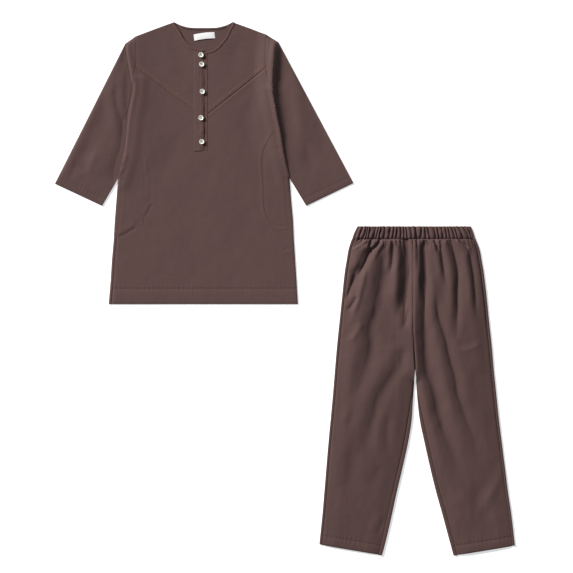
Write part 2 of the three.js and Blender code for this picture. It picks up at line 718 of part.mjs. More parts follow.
function tunic() {
  const group = new THREE.Group();
  group.position.copy(tunicPlace);
  const add = (name, solid, material = cloth) => group.add(meshOf(name, solid, material));
  add("tunic_back", tunicBack());
  add("tunic_front", tunicFront());
  add("yoke_left", yoke("left"));
  add("yoke_right", yoke("right"));
  const strips = placketStrips();
  add("placket_under", strips.lower);
  add("placket_over", strips.upper);
  const backEdge = [...mirrored(backNeck.slice(1)), ...backNeck.slice(1, -1).reverse()];
  add("neck_binding_back", bindingAlong(backEdge.sort((a, b) => a.x - b.x), -1, layer));
  add("neck_binding_left", bindingAlong(frontNeckLeft, -1, 2 * layer));
  add("neck_binding_right", bindingAlong(frontNeckRight, -1, 2 * layer));
  add("sleeve_left", sleeve("left"));
  add("sleeve_right", sleeve("right"));
  add("pocket_bag_left", prism(pocketBagLeft, layer, layer + wall));
  add("pocket_bag_right", prism(pocketBagRight, layer, layer + wall));
  const plate = new THREE.BoxGeometry(label.width, label.height, wall);
  plate.rotateZ(label.tilt).translate(label.x, label.y, layer + wall / 2);
  add("neck_label", solidFromGeometry(plate), woven);
  buttonPlaces.forEach((place, k) => {
    const mesh = meshOf("button_" + (k + 1), buttonSolid(), pearl);
    mesh.position.set(place.x, place.y, 3 * layer);
    group.add(mesh);
  });
  return group;
}

// A leg's edge rolled over to the front: under the panel, round, and back on top to the seam
function rolledEdge(table, key, inward, width, top) {
  const radius = rollHeight / 2;
  const section = (x, y, r) => {
    const row = [[x + inward * lap.flat, y, radius - r]];
    for (const degrees of [-90, -45, 0, 45, 90]) {
      const angle = degToRad(degrees);
      row.push([x + inward * (radius - r * Math.cos(angle)), y, radius + r * Math.sin(angle)]);
    }
    row.push([x + inward * width, y, radius + r]);
    return row;
  };
  const rows = table.filter(({ y }) => y < top);
  rows.push({ y: top, [key]: at(table, key, top) });
  return wallBetween(
    rows.map((row) => section(row[key], row.y, radius)),
    rows.map((row) => section(row[key], row.y, radius - wall)),
  );
}

const belowHem = (side) => {
  const { outer, inner } = legHem[side];
  return prism([outer, inner, { x: inner.x, y: hemCut }, { x: outer.x, y: hemCut }]);
};

// A leg's outline, moved in from the side and inseam edges by the amounts given
function legOutline(side, fromSide, fromInseam, fromCentre) {
  const sign = side === "left" ? 1 : -1;
  const outer = legSide.map((row) => ({ x: row[side] + sign * fromSide, y: row.y }));
  const inner = inseam.map((row) => ({ x: row[side] - sign * fromInseam, y: row.y }));
  const centre = frontSeam.map(({ x, y }) => ({ x: x - sign * fromCentre, y })).reverse();
  const top = { x: centre.at(-1).x, y: band.bottom - gap };
  const loop = [...outer.reverse(), ...inner, ...centre.slice(0, -1), top];
  loop[0].y = band.bottom - gap;
  return side === "left" ? loop : loop.reverse();
}

function legBack(side) {
  const inward = side === "left" ? 1 : -1;
  const flat = prism(legOutline(side, lap.flat - lap.join, lap.flat - lap.join, gap / 2), 0, wall);
  return flat
    .add(rolledEdge(legSide, side, inward, lap.side, band.bottom - gap))
    .add(rolledEdge(inseam, side, -inward, lap.inseam, inseam.at(-1).y))
    .subtract(belowHem(side));
}

// A front's height: even at its edges, where it meets the rolled seams, and folded between them
function legRelief(x, y) {
  const side = x < at(frontSeam, "x", y) || (y < crotch.y && x < 0) ? "left" : "right";
  const fromSide = Math.abs(x - at(legSide, side, y)) - lap.side;
  const fromInseam = y < inseam.at(-1).y ? Math.abs(x - at(inseam, side, y)) - lap.inseam : Infinity;
  const open = smoothstep(Math.min(fromSide, fromInseam), legEdge.from, legEdge.to);
  const height = legFlatness.base + legFlatness.deepen * foldHeight(folds, x, y);
  const { least, softness } = legFlatness;
  const lifted = least + softness * Math.log(1 + Math.exp((height - least) / softness));
  return lerp(rollHeight - wall, lifted, open);
}

function legFront(side) {
  const outline = legOutline(side, lap.side + gap, lap.inseam + gap, gap / 2);
  return panel(outline, legRelief, legGrid).subtract(belowHem(side));
}

// The waistband: a flattened ring of casing, plain inside and below, gathered on top
function waistband() {
  const { thickness } = casing;
  const height = 2 * thickness + casing.inner;
  const radius = height / 2;
  const steps = gathers.count * gathers.steps;
  const outer = [];
  const inner = [];
  for (const level of casing.levels) {
    const y = lerp(band.bottom, band.top, level);
    const left = lerp(band.bottomLeft, band.topLeft, level) + radius;
    const right = lerp(band.bottomRight, band.topRight, level) - radius;
    const ringOut = [];
    const ringIn = [];
    const put = (x, z, inX, inZ) => {
      ringOut.push([x, y, z]);
      ringIn.push([inX, y, inZ]);
    };
    const turn = (centre, from) => {
      const hollowRadius = radius - thickness;
      for (const degrees of endTurns) {
        const angle = degToRad(from + degrees);
        const [c, s] = [Math.cos(angle), Math.sin(angle)];
        put(centre + radius * c, radius + radius * s, centre + hollowRadius * c, radius + hollowRadius * s);
      }
    };
    for (let k = 0; k <= casing.plainSteps; k++) {
      const x = lerp(left, right, k / casing.plainSteps);
      put(x, 0, x, thickness);
    }
    turn(right, 0);
    for (let k = 0; k <= steps; k++) {
      const x = lerp(right, left, k / steps);
      const wave = (1 + Math.cos((2 * Math.PI * k) / gathers.steps)) / 2;
      const share = unevenness.middle + unevenness.range * Math.sin(k * unevenness.change + unevenness.start);
      const ends = smoothstep(Math.min(k, steps - k), 0, gathers.ends);
      put(x, height + gathers.height * wave * share * ends, x, height - thickness);
    }
    turn(left, 180);
    outer.push(ringOut);
    inner.push(ringIn);
  }
  return tubeBetween(outer, inner);
}

function trousers() {
  const group = new THREE.Group();
  group.position.copy(trousersPlace);
  for (const side of ["left", "right"]) {
    group.add(meshOf("leg_back_" + side, legBack(side), cloth));
    group.add(meshOf("leg_front_" + side, legFront(side), cloth));
  }
  group.add(meshOf("waistband", waistband(), cloth));
  return group;
}

const set = new THREE.Group();
set.add(tunic(), trousers());
export default set;
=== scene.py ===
# Thobe and trousers set lying flat on a pale table, seen from straight above.
# Shapes are worked out in millimetres in each garment's own frame and turned to metres in toMesh.
import math
import bpy
import numpy as np
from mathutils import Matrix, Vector, geometry


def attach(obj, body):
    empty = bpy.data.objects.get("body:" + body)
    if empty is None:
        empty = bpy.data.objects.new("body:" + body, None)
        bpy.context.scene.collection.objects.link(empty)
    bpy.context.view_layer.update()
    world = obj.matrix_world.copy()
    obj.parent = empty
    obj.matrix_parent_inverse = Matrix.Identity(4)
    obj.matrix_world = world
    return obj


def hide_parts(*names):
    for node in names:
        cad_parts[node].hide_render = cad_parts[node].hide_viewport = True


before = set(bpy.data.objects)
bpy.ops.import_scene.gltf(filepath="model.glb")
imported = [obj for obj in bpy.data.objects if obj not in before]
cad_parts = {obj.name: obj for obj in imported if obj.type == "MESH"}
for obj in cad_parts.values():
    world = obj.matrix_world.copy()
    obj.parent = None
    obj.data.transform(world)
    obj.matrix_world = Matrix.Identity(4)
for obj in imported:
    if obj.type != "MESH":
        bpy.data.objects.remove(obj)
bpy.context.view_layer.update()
mm = 0.001

# Where the garments' own frames stand in the set's frame
tunicAt = (-184.05, -34.7)
trousersAt = (291.75, -602.0)
shellThickness = 0.7


# Camera: straight down, framed as the photo
cameraSetup = {"lens": 85.0, "sensor": 36.0, "frameWidth": 1294.2, "centre": (3.6, 5.2)}


def makeCamera():
    data = bpy.data.cameras.new("overhead")
    data.lens = cameraSetup["lens"]
    data.sensor_width = cameraSetup["sensor"]
    camera = bpy.data.objects.new("overhead", data)
    height = cameraSetup["frameWidth"] * cameraSetup["lens"] / cameraSetup["sensor"]
    x, y = cameraSetup["centre"]
    camera.location = (x * mm, y * mm, height * mm)
    data.clip_end = 20
    bpy.context.scene.collection.objects.link(camera)
    bpy.context.scene.camera = camera


makeCamera()


# Numbers over a surface
def smoothStep(value, low, high):
    t = np.clip((value - low) / (high - low), 0, 1)
    return t * t * (3 - 2 * t)


def bell(distance, width):
    return np.exp(-((distance / width) ** 2))


def fall(distance, length):
    return np.exp(-np.maximum(distance, 0) / length)


def latticeNoise(x, y, seed):
    ix, iy = np.floor(x), np.floor(y)
    fx, fy = x - ix, y - iy
    fx, fy = fx * fx * (3 - 2 * fx), fy * fy * (3 - 2 * fy)

    def corner(a, b):
        value = np.sin(a * 127.1 + b * 311.7 + seed * 74.7) * 43758.5453
        return 2 * (value - np.floor(value)) - 1

    low = corner(ix, iy) * (1 - fx) + corner(ix + 1, iy) * fx
    high = corner(ix, iy + 1) * (1 - fx) + corner(ix + 1, iy + 1) * fx
    return low * (1 - fy) + high * fy


def rumple(x, y, sizeX, sizeY, seed, octaves=3):
    total = 0
    for k in range(octaves):
        total = total + latticeNoise(x / sizeX * 2**k, y / sizeY * 2**k, seed + 7 * k) * 0.5**k
    return total


# Waves of loose cloth: each row gives their height, size across, size along and seed
def waves(rows, x, y, shift=0):
    return sum(height * rumple(x, y, wide, long, seed + shift) for height, wide, long, seed in rows)


def runLength(line):
    return np.concatenate([[0], np.cumsum(np.hypot(*np.diff(line, axis=0).T))])


def pointsAt(line, at):
    reach = runLength(line)
    return np.column_stack([np.interp(at, reach, line[:, 0]), np.interp(at, reach, line[:, 1])])


# The unit vector from a to b and the one across it that points up the picture
def waysOf(a, b):
    along = (b - a) / np.hypot(*(b - a))
    up = np.array([-along[1], along[0]])
    return along, -up if up[1] < 0 else up


def circle(radius, count):
    turns = 2 * math.pi * np.arange(count) / count
    return np.column_stack([radius * np.cos(turns), radius * np.sin(turns)])


# A smooth line through points, with a point about every step
def curve(points, step=3.0):
    p = np.array(points, float)
    ends = np.vstack([2 * p[0] - p[1], p, 2 * p[-1] - p[-2]])
    line = []
    for a, b, c, d in zip(ends, ends[1:], ends[2:], ends[3:]):
        count = max(1, int(math.ceil(np.hypot(*(c - b)) / step)))
        for t in np.arange(count) / count:
            line.append(
                0.5 * (2 * b + (c - a) * t + (2 * a - 5 * b + 4 * c - d) * t**2 + (3 * b - a - 3 * c + d) * t**3)
            )
    return np.array(line + [p[-1]])


# The same along straight stretches
def straight(points, step=3.0):
    p = np.array(points, float)
    line = []
    for a, b in zip(p, p[1:]):
        count = max(1, int(math.ceil(np.hypot(*(b - a)) / step)))
        line += [a + (b - a) * t for t in np.arange(count) / count]
    return np.array(line + [p[-1]])


# Nearest distance to a line, its sign (positive to the left hand of its direction) and the share along it
def nearLine(line, x, y):
    best = np.full(x.shape, 1e9)
    side = np.ones(x.shape)
    share = np.zeros(x.shape)
    lengths = np.hypot(*np.diff(line, axis=0).T)
    done = 0.0
    for (ax, ay), (bx, by), length in zip(line, line[1:], lengths):
        ex, ey = bx - ax, by - ay
        t = np.clip(((x - ax) * ex + (y - ay) * ey) / max(length**2, 1e-9), 0, 1)
        dx, dy = x - ax - t * ex, y - ay - t * ey
        distance = np.hypot(dx, dy)
        closer = distance < best
        best = np.where(closer, distance, best)
        side = np.where(closer, np.where(ex * dy - ey * dx >= 0, 1.0, -1.0), side)
        share = np.where(closer, (done + t * length) / lengths.sum(), share)
        done += length
    return best, side, share


def insideOutline(outline, x, y):
    inside = np.zeros(x.shape, bool)
    for (ax, ay), (bx, by) in zip(outline, np.roll(outline, -1, axis=0)):
        crosses = (ay > y) != (by > y)
        with np.errstate(divide="ignore", invalid="ignore"):
            inside ^= crosses & (x < ax + (y - ay) * (bx - ax) / (by - ay))
    return inside


# Folds, listed one by one: each runs along a line, falls by drop from its left to its right hand as one looks
# up the picture, sinks by dip along the line, has a sharp crease at its foot, and takes half to level out
def fold(line, half, drop=0, dip=0, crease=0, start=0.3, end=0.4, widen=0):
    return dict(line=line, half=half, drop=drop, dip=dip, crease=crease, start=start, end=end, widen=widen)


foldShape = {"step": 9.0, "reach": 4.2, "wander": 0.22, "skew": 1.5, "creaseAt": 0.75, "creaseWidth": 1.9}


def foldRelief(rows, x, y):
    spec = foldShape
    height = np.zeros(x.shape)
    for k, row in enumerate(rows):
        line = curve(row["line"], spec["step"])
        reach = spec["reach"] * row["half"]
        low, high = line.min(0) - reach, line.max(0) + reach
        pick = (x > low[0]) & (x < high[0]) & (y > low[1]) & (y < high[1])
        if not pick.any():
            continue
        px, py = x[pick], y[pick]
        wander = spec["wander"] * row["half"] * rumple(px, py, 34, 46, 40 + k, 2)
        distance, side, share = nearLine(line, px, py)
        # lines are written from the neck down, so their left hand is the picture's right
        u = (distance * side + wander) / (row["half"] * (1 + row["widen"] * share))
        u = np.where(u < 0, u / spec["skew"], u)
        fade = smoothStep(share, -0.001, row["start"]) * (1 - smoothStep(share, 1 - row["end"], 1.001))
        step = -1.65 * u * np.exp(-u * u / 2)
        trough = -np.exp(-u * u)
        sharp = -bell((u - spec["creaseAt"]) * row["half"], spec["creaseWidth"])
        height[pick] += fade * (row["drop"] * step + row["dip"] * trough + row["crease"] * sharp)
    return height


# Meshes
def toMesh(name, points, faces, place, material, smoothAngle=50):
    mesh = bpy.data.meshes.new(name)
    world = np.array(points, float)
    middle = world.mean(0)
    fans = [(face[0], face[k], face[k + 1]) for face in faces for k in range(1, len(face) - 1)]
    a, b, c = (world[[fan[k] for fan in fans]] - middle for k in range(3))
    if np.einsum("ij,ij->i", a, np.cross(b, c)).sum() < 0:
        faces = [face[::-1] for face in faces]
    world[:, 0] += place[0]
    world[:, 1] += place[1]
    mesh.from_pydata((world * mm).tolist(), [], faces)
    mesh.validate()
    mesh.shade_smooth()
    mesh.set_sharp_from_angle(angle=math.radians(smoothAngle))
    piece = bpy.data.objects.new(name, mesh)
    bpy.context.scene.collection.objects.link(piece)
    mesh.materials.append(material)
    return piece


def finishPiece(piece, node):
    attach(piece, "root")
    if node:
        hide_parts(node)
    return piece


# Triangles over an outline, closer together near the lines given
def triangulate(outline, step, fineLines=(), fineStep=1.5, fineReach=8.0):
    boundary = []
    for a, b in zip(outline, np.roll(outline, -1, axis=0)):
        middle = (a + b) / 2
        spacing = step * 0.8
        for line in fineLines:
            if nearLine(line, middle[:1], middle[1:])[0][0] < fineReach:
                spacing = fineStep
        count = max(1, int(math.ceil(np.hypot(*(b - a)) / spacing)))
        boundary += [a + (b - a) * t for t in np.arange(count) / count]
    boundary = np.array(boundary)
    closed = np.vstack([outline, outline[:1]])

    def grid(spacing):
        low, high = boundary.min(0), boundary.max(0)
        xs = np.arange(low[0], high[0], spacing)
        ys = np.arange(low[1], high[1], spacing * 0.866)
        x, y = np.meshgrid(xs, ys)
        x = x + np.where(np.arange(len(ys)) % 2, spacing / 2, 0)[:, None]
        x, y = x.ravel(), y.ravel()
        x = x + 0.18 * spacing * latticeNoise(x * 3.1, y * 2.7, 5)
        keep = insideOutline(outline, x, y)
        x, y = x[keep], y[keep]
        keep = nearLine(closed, x, y)[0] > 0.5 * spacing
        return x[keep], y[keep]

    x, y = grid(step)
    if len(fineLines):
        near = np.min([nearLine(line, x, y)[0] for line in fineLines], axis=0)
        fx, fy = grid(fineStep)
        fineNear = np.min([nearLine(line, fx, fy)[0] for line in fineLines], axis=0)
        x = np.concatenate([x[near > fineReach], fx[fineNear <= fineReach]])
        y = np.concatenate([y[near > fineReach], fy[fineNear <= fineReach]])
    points = [Vector(p) for p in boundary] + [Vector(p) for p in zip(x, y)]
    made = geometry.delaunay_2d_cdt(points, [], [list(range(len(boundary)))], 1, 1e-5)
    flat = np.array([tuple(v) for v in made[0]])
    return flat, np.array(made[2])


# Gives a surface of triangles its thickness, downwards along its normals, and closes its rim
def thicken(top, faces, thickness):
    a, b, c = (top[faces[:, k]] for k in range(3))
    across = np.cross(b - a, c - a)
    if across[:, 2].sum() < 0:
        faces = faces[:, ::-1]
        across = -across
    normals = np.zeros_like(top)
    for k in range(3):
        np.add.at(normals, faces[:, k], across)
    normals /= np.maximum(np.linalg.norm(normals, axis=1), 1e-12)[:, None]
    count = len(top)
    edges = np.concatenate([faces[:, [0, 1]], faces[:, [1, 2]], faces[:, [2, 0]]])
    known = set(map(tuple, edges.tolist()))
    rim = [(p, q) for p, q in known if (q, p) not in known]
    sides = [(q, p, p + count, q + count) for p, q in sorted(rim)]
    lower = (faces[:, ::-1] + count).tolist()
    return np.vstack([top, top - normals * thickness]), faces.tolist() + lower + sides


# A panel of cloth over its outline, at the height that top(x, y) gives
def clothPanel(name, outline, top, place, material, step=2.8, thickness=shellThickness, **fine):
    flat, faces = triangulate(np.array(outline, float), step, **fine)
    x, y = flat[:, 0], flat[:, 1]
    surface = np.column_stack([x, y, top(x, y)])
    points, sides = thicken(surface, faces, thickness)
    return toMesh(name, points, sides, place, material)


# A skin over a grid of points, rows by columns, closed round the columns where asked, with its thickness
def clothGrid(name, outer, inner, place, material, closed=False):
    rows, columns = outer.shape[:2]
    points = np.vstack([outer.reshape(-1, 3), inner.reshape(-1, 3)])
    half = rows * columns
    spans = columns if closed else columns - 1
    faces = []
    for i in range(rows - 1):
        for j in range(spans):
            k = (j + 1) % columns
            a, b, c, d = i * columns + j, i * columns + k, (i + 1) * columns + k, (i + 1) * columns + j
            faces += [(a, b, c, d), (half + a, half + d, half + c, half + b)]
    for j in range(spans):
        k = (j + 1) % columns
        last = (rows - 1) * columns
        faces += [(k, j, half + j, half + k), (last + j, last + k, half + last + k, half + last + j)]
    if not closed:
        for i in range(rows - 1):
            a, d = i * columns, (i + 1) * columns
            faces.append((a, d, half + d, half + a))
            b, c = a + columns - 1, d + columns - 1
            faces.append((c, b, half + b, half + c))
    return toMesh(name, points, faces, place, material)


# A rows by columns grid's own normals, for the inner skin
def gridNormals(grid, closed):
    along = np.gradient(grid, axis=0)
    if closed:
        across = (np.roll(grid, -1, axis=1) - np.roll(grid, 1, axis=1)) / 2
    else:
        across = np.gradient(grid, axis=1)
    normal = np.cross(across, along)
    top = np.unravel_index(np.argmax(grid[:, :, 2]), grid.shape[:2])
    if normal[top][2] < 0:
        normal = -normal
    return normal / np.maximum(np.linalg.norm(normal, axis=2), 1e-9)[:, :, None]


# Materials
def toLinear(hexColour):
    out = []
    for k in (0, 2, 4):
        c = int(hexColour.lstrip("#")[k : k + 2], 16) / 255
        out.append(c / 12.92 if c <= 0.04045 else ((c + 0.055) / 1.055) ** 2.4)
    return (*out, 1.0)


def addNode(tree, kind, inputs=None, **settings):
    node = tree.nodes.new(kind)
    for key, value in settings.items():
        setattr(node, key, value)
    for key, value in (inputs or {}).items():
        if isinstance(value, bpy.types.NodeSocket):
            tree.links.new(value, node.inputs[key])
        else:
            node.inputs[key].default_value = value
    return node


def newMaterial(name, **values):
    material = bpy.data.materials.new(name)
    material.use_nodes = True
    tree = material.node_tree
    shader = tree.nodes["Principled BSDF"]
    for key, value in values.items():
        shader.inputs[key.replace("_", " ")].default_value = value
    return material, tree, shader


def ramp(tree, factor, stops):
    tone = addNode(tree, "ShaderNodeValToRGB", {"Fac": factor})
    elements = tone.color_ramp.elements
    for element, (place, colour) in zip((elements[0], elements[1]), (stops[0], stops[-1])):
        element.position, element.color = place, colour
    for place, colour in stops[1:-1]:
        elements.new(place).color = colour
    return tone.outputs["Color"]


def emboss(tree, shader, height, strength, distance):
    bump = addNode(tree, "ShaderNodeBump", {"Strength": strength, "Distance": distance, "Height": height})
    tree.links.new(bump.outputs["Normal"], shader.inputs["Normal"])


poplinSpec = {
    "yarn": "#57413F",  # dyed brown poplin, the mid tone of the cloth
    "deep": "#523D3B",
    "pale": "#5D4744",
    "fuzz": "#C9B2A8",
    "threadPitch": 0.9,  # mm; real threads are 0.25 mm apart, drawn coarser so that they show close up
    "streaks": ((1300.0, 30.0, 1.0), (26.0, 1200.0, 1.0)),  # uneven yarn: thin and long, one way and the other
    "blotch": 90.0,  # mm
    "crumple": 26.0,  # mm
}
perMetre = 1000.0


# Plain-woven cotton and polyester poplin, piece-dyed: matt, a little pale at a low angle, fine threads; a shade below
# 1 makes a darker copy of the same cloth, which is painted shade
def makePoplin(name, shade):
    spec = poplinSpec
    material, tree, shader = newMaterial(
        name, Roughness=0.8, IOR=1.5, Sheen_Weight=0.1, Sheen_Roughness=0.5, Specular_IOR_Level=0.25
    )
    shader.inputs["Sheen Tint"].default_value = toLinear(spec["fuzz"])
    where = addNode(tree, "ShaderNodeTexCoord").outputs["Object"]

    def calculate(operation, *values):
        return addNode(tree, "ShaderNodeMath", dict(enumerate(values)), operation=operation).outputs["Value"]

    def noise(vector, scale, detail, roughness=0.5):
        inputs = {"Vector": vector, "Scale": scale, "Detail": detail, "Roughness": roughness}
        return addNode(tree, "ShaderNodeTexNoise", inputs).outputs["Fac"]

    def scaled(value, low, high):
        return addNode(tree, "ShaderNodeMapRange", {"Value": value, "To Min": low, "To Max": high}).outputs["Result"]

    threads = {"Vector": where, "Scale": perMetre / spec["threadPitch"] / 2 / 3.1416}
    threads.update({"Distortion": 0.6, "Detail": 1.0, "Detail Scale": 0.4})
    yarns = [addNode(tree, "ShaderNodeTexWave", threads, bands_direction=way).outputs["Fac"] for way in "XY"]
    weave = calculate("MULTIPLY", *yarns)
    blotch = noise(where, perMetre / spec["blotch"], 3.0, 0.55)
    streaks = [addNode(tree, "ShaderNodeMapping", {"Vector": where, "Scale": scale}) for scale in spec["streaks"]]
    uneven = calculate("ADD", *[noise(streak.outputs["Vector"], 1.0, 2.0) for streak in streaks])
    mixed = calculate("MULTIPLY_ADD", uneven, 0.375, calculate("MULTIPLY", blotch, 0.25))
    stops = zip((0.3, 0.5, 0.7), (toLinear(spec[key]) for key in ("deep", "yarn", "pale")))
    inputs = {"Factor": 1.0, 6: ramp(tree, mixed, list(stops)), 7: scaled(weave, 0.93 * shade, 1.05 * shade)}
    colour = addNode(tree, "ShaderNodeMix", inputs, data_type="RGBA", blend_type="MULTIPLY")
    tree.links.new(colour.outputs[2], shader.inputs["Base Color"])
    tree.links.new(scaled(blotch, 0.72, 0.86), shader.inputs["Roughness"])
    relief = calculate("MULTIPLY_ADD", noise(where, perMetre / spec["crumple"], 4.0), 4.0, weave)
    emboss(tree, shader, relief, 0.35, 0.00012)
    return material


# A material of one pattern, which tints it between two colours and embosses it
def makePatterned(name, kind, pattern, stops, relief=None, way=None, **values):
    material, tree, shader = newMaterial(name, **values)
    where = addNode(tree, "ShaderNodeTexCoord").outputs["Object"]
    settings = {"bands_direction": way} if way else {}
    made = addNode(tree, kind, {"Vector": where, **pattern}, **settings).outputs["Fac"]
    tree.links.new(ramp(tree, made, stops), shader.inputs["Base Color"])
    if relief:
        emboss(tree, shader, made, relief, 0.0001)
    return material, shader


# Spun polyester sewing thread: round, twisted, slightly glossy
def makeThread(name, hexColour):
    base = toLinear(hexColour)
    stops = [(0, (*[c * 0.72 for c in base[:3]], 1)), (1, (*[min(1, c * 1.15) for c in base[:3]], 1))]
    return makePatterned(
        name, "ShaderNodeTexWave", {"Scale": 500.0, "Distortion": 1.5}, stops, 0.5, "DIAGONAL",
        Roughness=0.5, IOR=1.55, Sheen_Weight=0.1,
    )[0]


# Damask-woven polyester label tape: bright white, with a fine rib across
def makeLabelTape():
    return makePatterned(
        "wovenLabelTape", "ShaderNodeTexWave", {"Scale": 260.0, "Distortion": 0.3},
        [(0, toLinear("#E3E5E6")), (1, toLinear("#F7F8F8"))], 0.3, "Y",
        Roughness=0.55, IOR=1.5, Sheen_Weight=0.15,
    )[0]


# Cast polyester buttons, turned and polished: milky white with a faint pearl swirl and a clear gloss
def makePearl():
    material, shader = makePatterned(
        "castPearlPolyester", "ShaderNodeTexNoise", {"Scale": 260.0, "Detail": 2.0, "Distortion": 1.6},
        [(0.35, toLinear("#DCDDD6")), (0.65, toLinear("#FAFAF5"))],
        Roughness=0.22, IOR=1.56, Coat_Weight=0.35, Coat_Roughness=0.08, Subsurface_Weight=0.12,
    )
    shader.inputs["Subsurface Radius"].default_value = (0.002, 0.0018, 0.0015)
    return material


poplin = makePoplin("dyedPoplin", 1.0)
# the trousers' copy of the same cloth, 0.865 as bright: painted shade
shadedTrouserPoplin = makePoplin("dyedPoplinPaintedShade", 0.865)
seamThread = makeThread("seamThread", "#AC6C3E")
# brown sewing thread, darkened almost to black so that its rows read as the dark line of their grooves: its own brown
# with painted shade
shadedBrownThread = makeThread("shadedBrownThread", "#2A1C1A")
whiteThread = makeThread("whiteThread", "#E4E4E0")
labelTape = makeLabelTape()
pearl = makePearl()
print("materials made")


# Stitches: spindles of thread lying along a line on the cloth
stitchSpec = {
    "pitch": 2.8, "length": 2.3, "radius": 0.34, "sink": 0.12, "rise": 0.35, "belly": (0.22, 0.78), "sides": 5,
}


def stitches(name, rows, place, material, pitch=None, radius=None, sink=0.0):
    pitch = pitch or stitchSpec["pitch"]
    radius = radius or stitchSpec["radius"]
    length = stitchSpec["length"] * pitch / stitchSpec["pitch"]
    points, faces = [], []
    sides = stitchSpec["sides"]
    for line, top in rows:
        at = np.arange(pitch * 0.3, runLength(line)[-1] - length, pitch)
        (ax, ay), (bx, by) = pointsAt(line, at).T, pointsAt(line, at + length).T
        az, bz = top(ax, ay), top(bx, by)
        mz = top((ax + bx) / 2, (ay + by) / 2)
        for k in range(len(at)):
            a = np.array([ax[k], ay[k], az[k] - stitchSpec["sink"]])
            b = np.array([bx[k], by[k], bz[k] - stitchSpec["sink"]])
            along = (b - a) / np.linalg.norm(b - a)
            across = np.cross(along, (0, 0, 1))
            across /= np.linalg.norm(across)
            up = np.cross(across, along)
            first = len(points)
            points.append(a)
            for share in stitchSpec["belly"]:
                centre = a + (b - a) * share
                centre[2] = mz[k] + radius * stitchSpec["rise"] - sink
                points += [centre + p * across + q * up for p, q in circle(radius, sides)]
            points.append(b)
            last = first + 2 * sides + 1
            for n in range(sides):
                m = (n + 1) % sides
                p, q = first + 1 + n, first + 1 + m
                faces.append((first, q, p))
                faces.append((p, q, q + sides, p + sides))
                faces.append((last, p + sides, q + sides))
    return toMesh(name, points, faces, place, material, 80)


# Tunic
tunicSide = {
    "y": [0, 54, 99, 145, 190, 235, 286.5],
    "left": [-214, -209.5, -206.8, -202.7, -200, -196.4, -192.6],
    "right": [213.6, 210.4, 207.5, 204.5, 202.5, 198.4, 194.5],
}
shoulder = [(65.8, 636.7), (103.8, 623), (128, 613.7), (147, 606.4)]
backNeck = [(65.8, 636.7), (49.4, 629), (31.5, 624.6), (0, 623.6)]
frontNeckLeft = [
    (-65.8, 636.7), (-62.4, 629.9), (-53.8, 616.8), (-45.9, 602),
    (-36.5, 590), (-27.4, 581.7), (-16.7, 577.4), (0.9, 574.4),
]
frontNeckRight = [
    (1.2, 569.6), (9.6, 570.4), (20.7, 573.2), (32.9, 581.8), (42.4, 592.7),
    (50.4, 603.4), (58.3, 619.3), (64.5, 629.9), (65.8, 636.7),
]
yokeSeam = {"left": (-152.3, 534), "right": (139.6, 532.4), "tipLeft": (-14.1, 433.5), "tipRight": (9.8, 429)}
hemDepth = 36.0
sideLap = {"top": 156, "inset": 6.8}
placket = {"left": -21.6, "foldTop": -16.7, "freeEdge": 0.9, "right": 9.5, "bottom": 347, "slot": -14.1, "gap": 0.3}

armhole = {
    "left": {
        "seam": [(-151.2, 606), (-151.2, 575), (-151.2, 541.8), (-155.3, 519)],
        "fold": [
            (-172.5, 592), (-168.2, 555.5), (-161, 519), (-156.9, 489.6), (-162.5, 455),
            (-170, 417), (-175.7, 360), (-183.2, 324), (-192.6, 286.5),
        ],
        "tip": (-176.5, 588),
        "armpit": (-191, 286),
        "cuff": [(-335.4, 271.9), (-228.6, 221.9)],
    },
    "right": {
        "seam": [(141.4, 609), (139.2, 575), (139.2, 540), (143, 515), (150, 495)],
        "fold": [
            (164, 596), (158.5, 555.5), (157, 519), (156.4, 491.9), (162.3, 460),
            (168.8, 424), (176.8, 385), (183, 345), (194.5, 286.5),
        ],
        "tip": (169, 592),
        "armpit": (193, 286),
        "cuff": [(339, 273.2), (232.1, 221.9)],
    },
}
sleeveUnder = 12.0
armpitY = 286
signOf = {"left": -1, "right": 1}


def mirrored(points):
    return [(-x, y) for x, y in points]


def lowFold(side):
    end = armhole[side]["seam"][-1][1]
    return [p for p in armhole[side]["fold"] if p[1] < end - 15]


def sleeveStart(side):
    under = [(x - signOf[side] * sleeveUnder, y) for x, y in lowFold(side)]
    under[-1] = (under[-1][0], 289)
    return armhole[side]["seam"] + under


foldLine = {side: curve(armhole[side]["fold"], 6.0) for side in armhole}
seamLine = {side: curve(sleeveStart(side), 6.0) for side in armhole}

# Height of the body's edge over the sleeve, from the shoulder down
foldHeight = {
    "y": [280, 330, 400, 470, 520, 560, 600],
    "left": [0.8, 2.2, 3.0, 3.0, 3.6, 3.8, 2.6],
    "right": [0.8, 6.4, 9.0, 10.6, 12.6, 13.2, 9.0],
}

pocketLines = {
    "left": [
        (-140, 344), (-129.6, 320), (-127.3, 269), (-121, 236),
        (-129, 213), (-134.8, 191), (-160.3, 169), (-192, 154),
    ],
    "right": [
        (171, 394), (151.9, 377), (138, 349), (133.7, 315), (131.4, 258),
        (136.5, 218), (148.9, 193), (165.5, 177), (200, 173),
    ],
}

# The bags' edges as they press through the front
pocketEdge = {
    "left": [(-129.4, 330.8), (-129.4, 303.5), (-127.3, 280.8), (-126.2, 258.1), (-123.9, 235.4)],
    "right": [
        (158.2, 392), (149.4, 376.6), (139.2, 359.1), (133, 344.4), (131.2, 321.7), (131.4, 296.7), (133.5, 255.8),
        (134.6, 225.4), (139.2, 202.7), (146.9, 187.7), (159.3, 174.8), (174.6, 172.3), (193.4, 173),
    ],
}

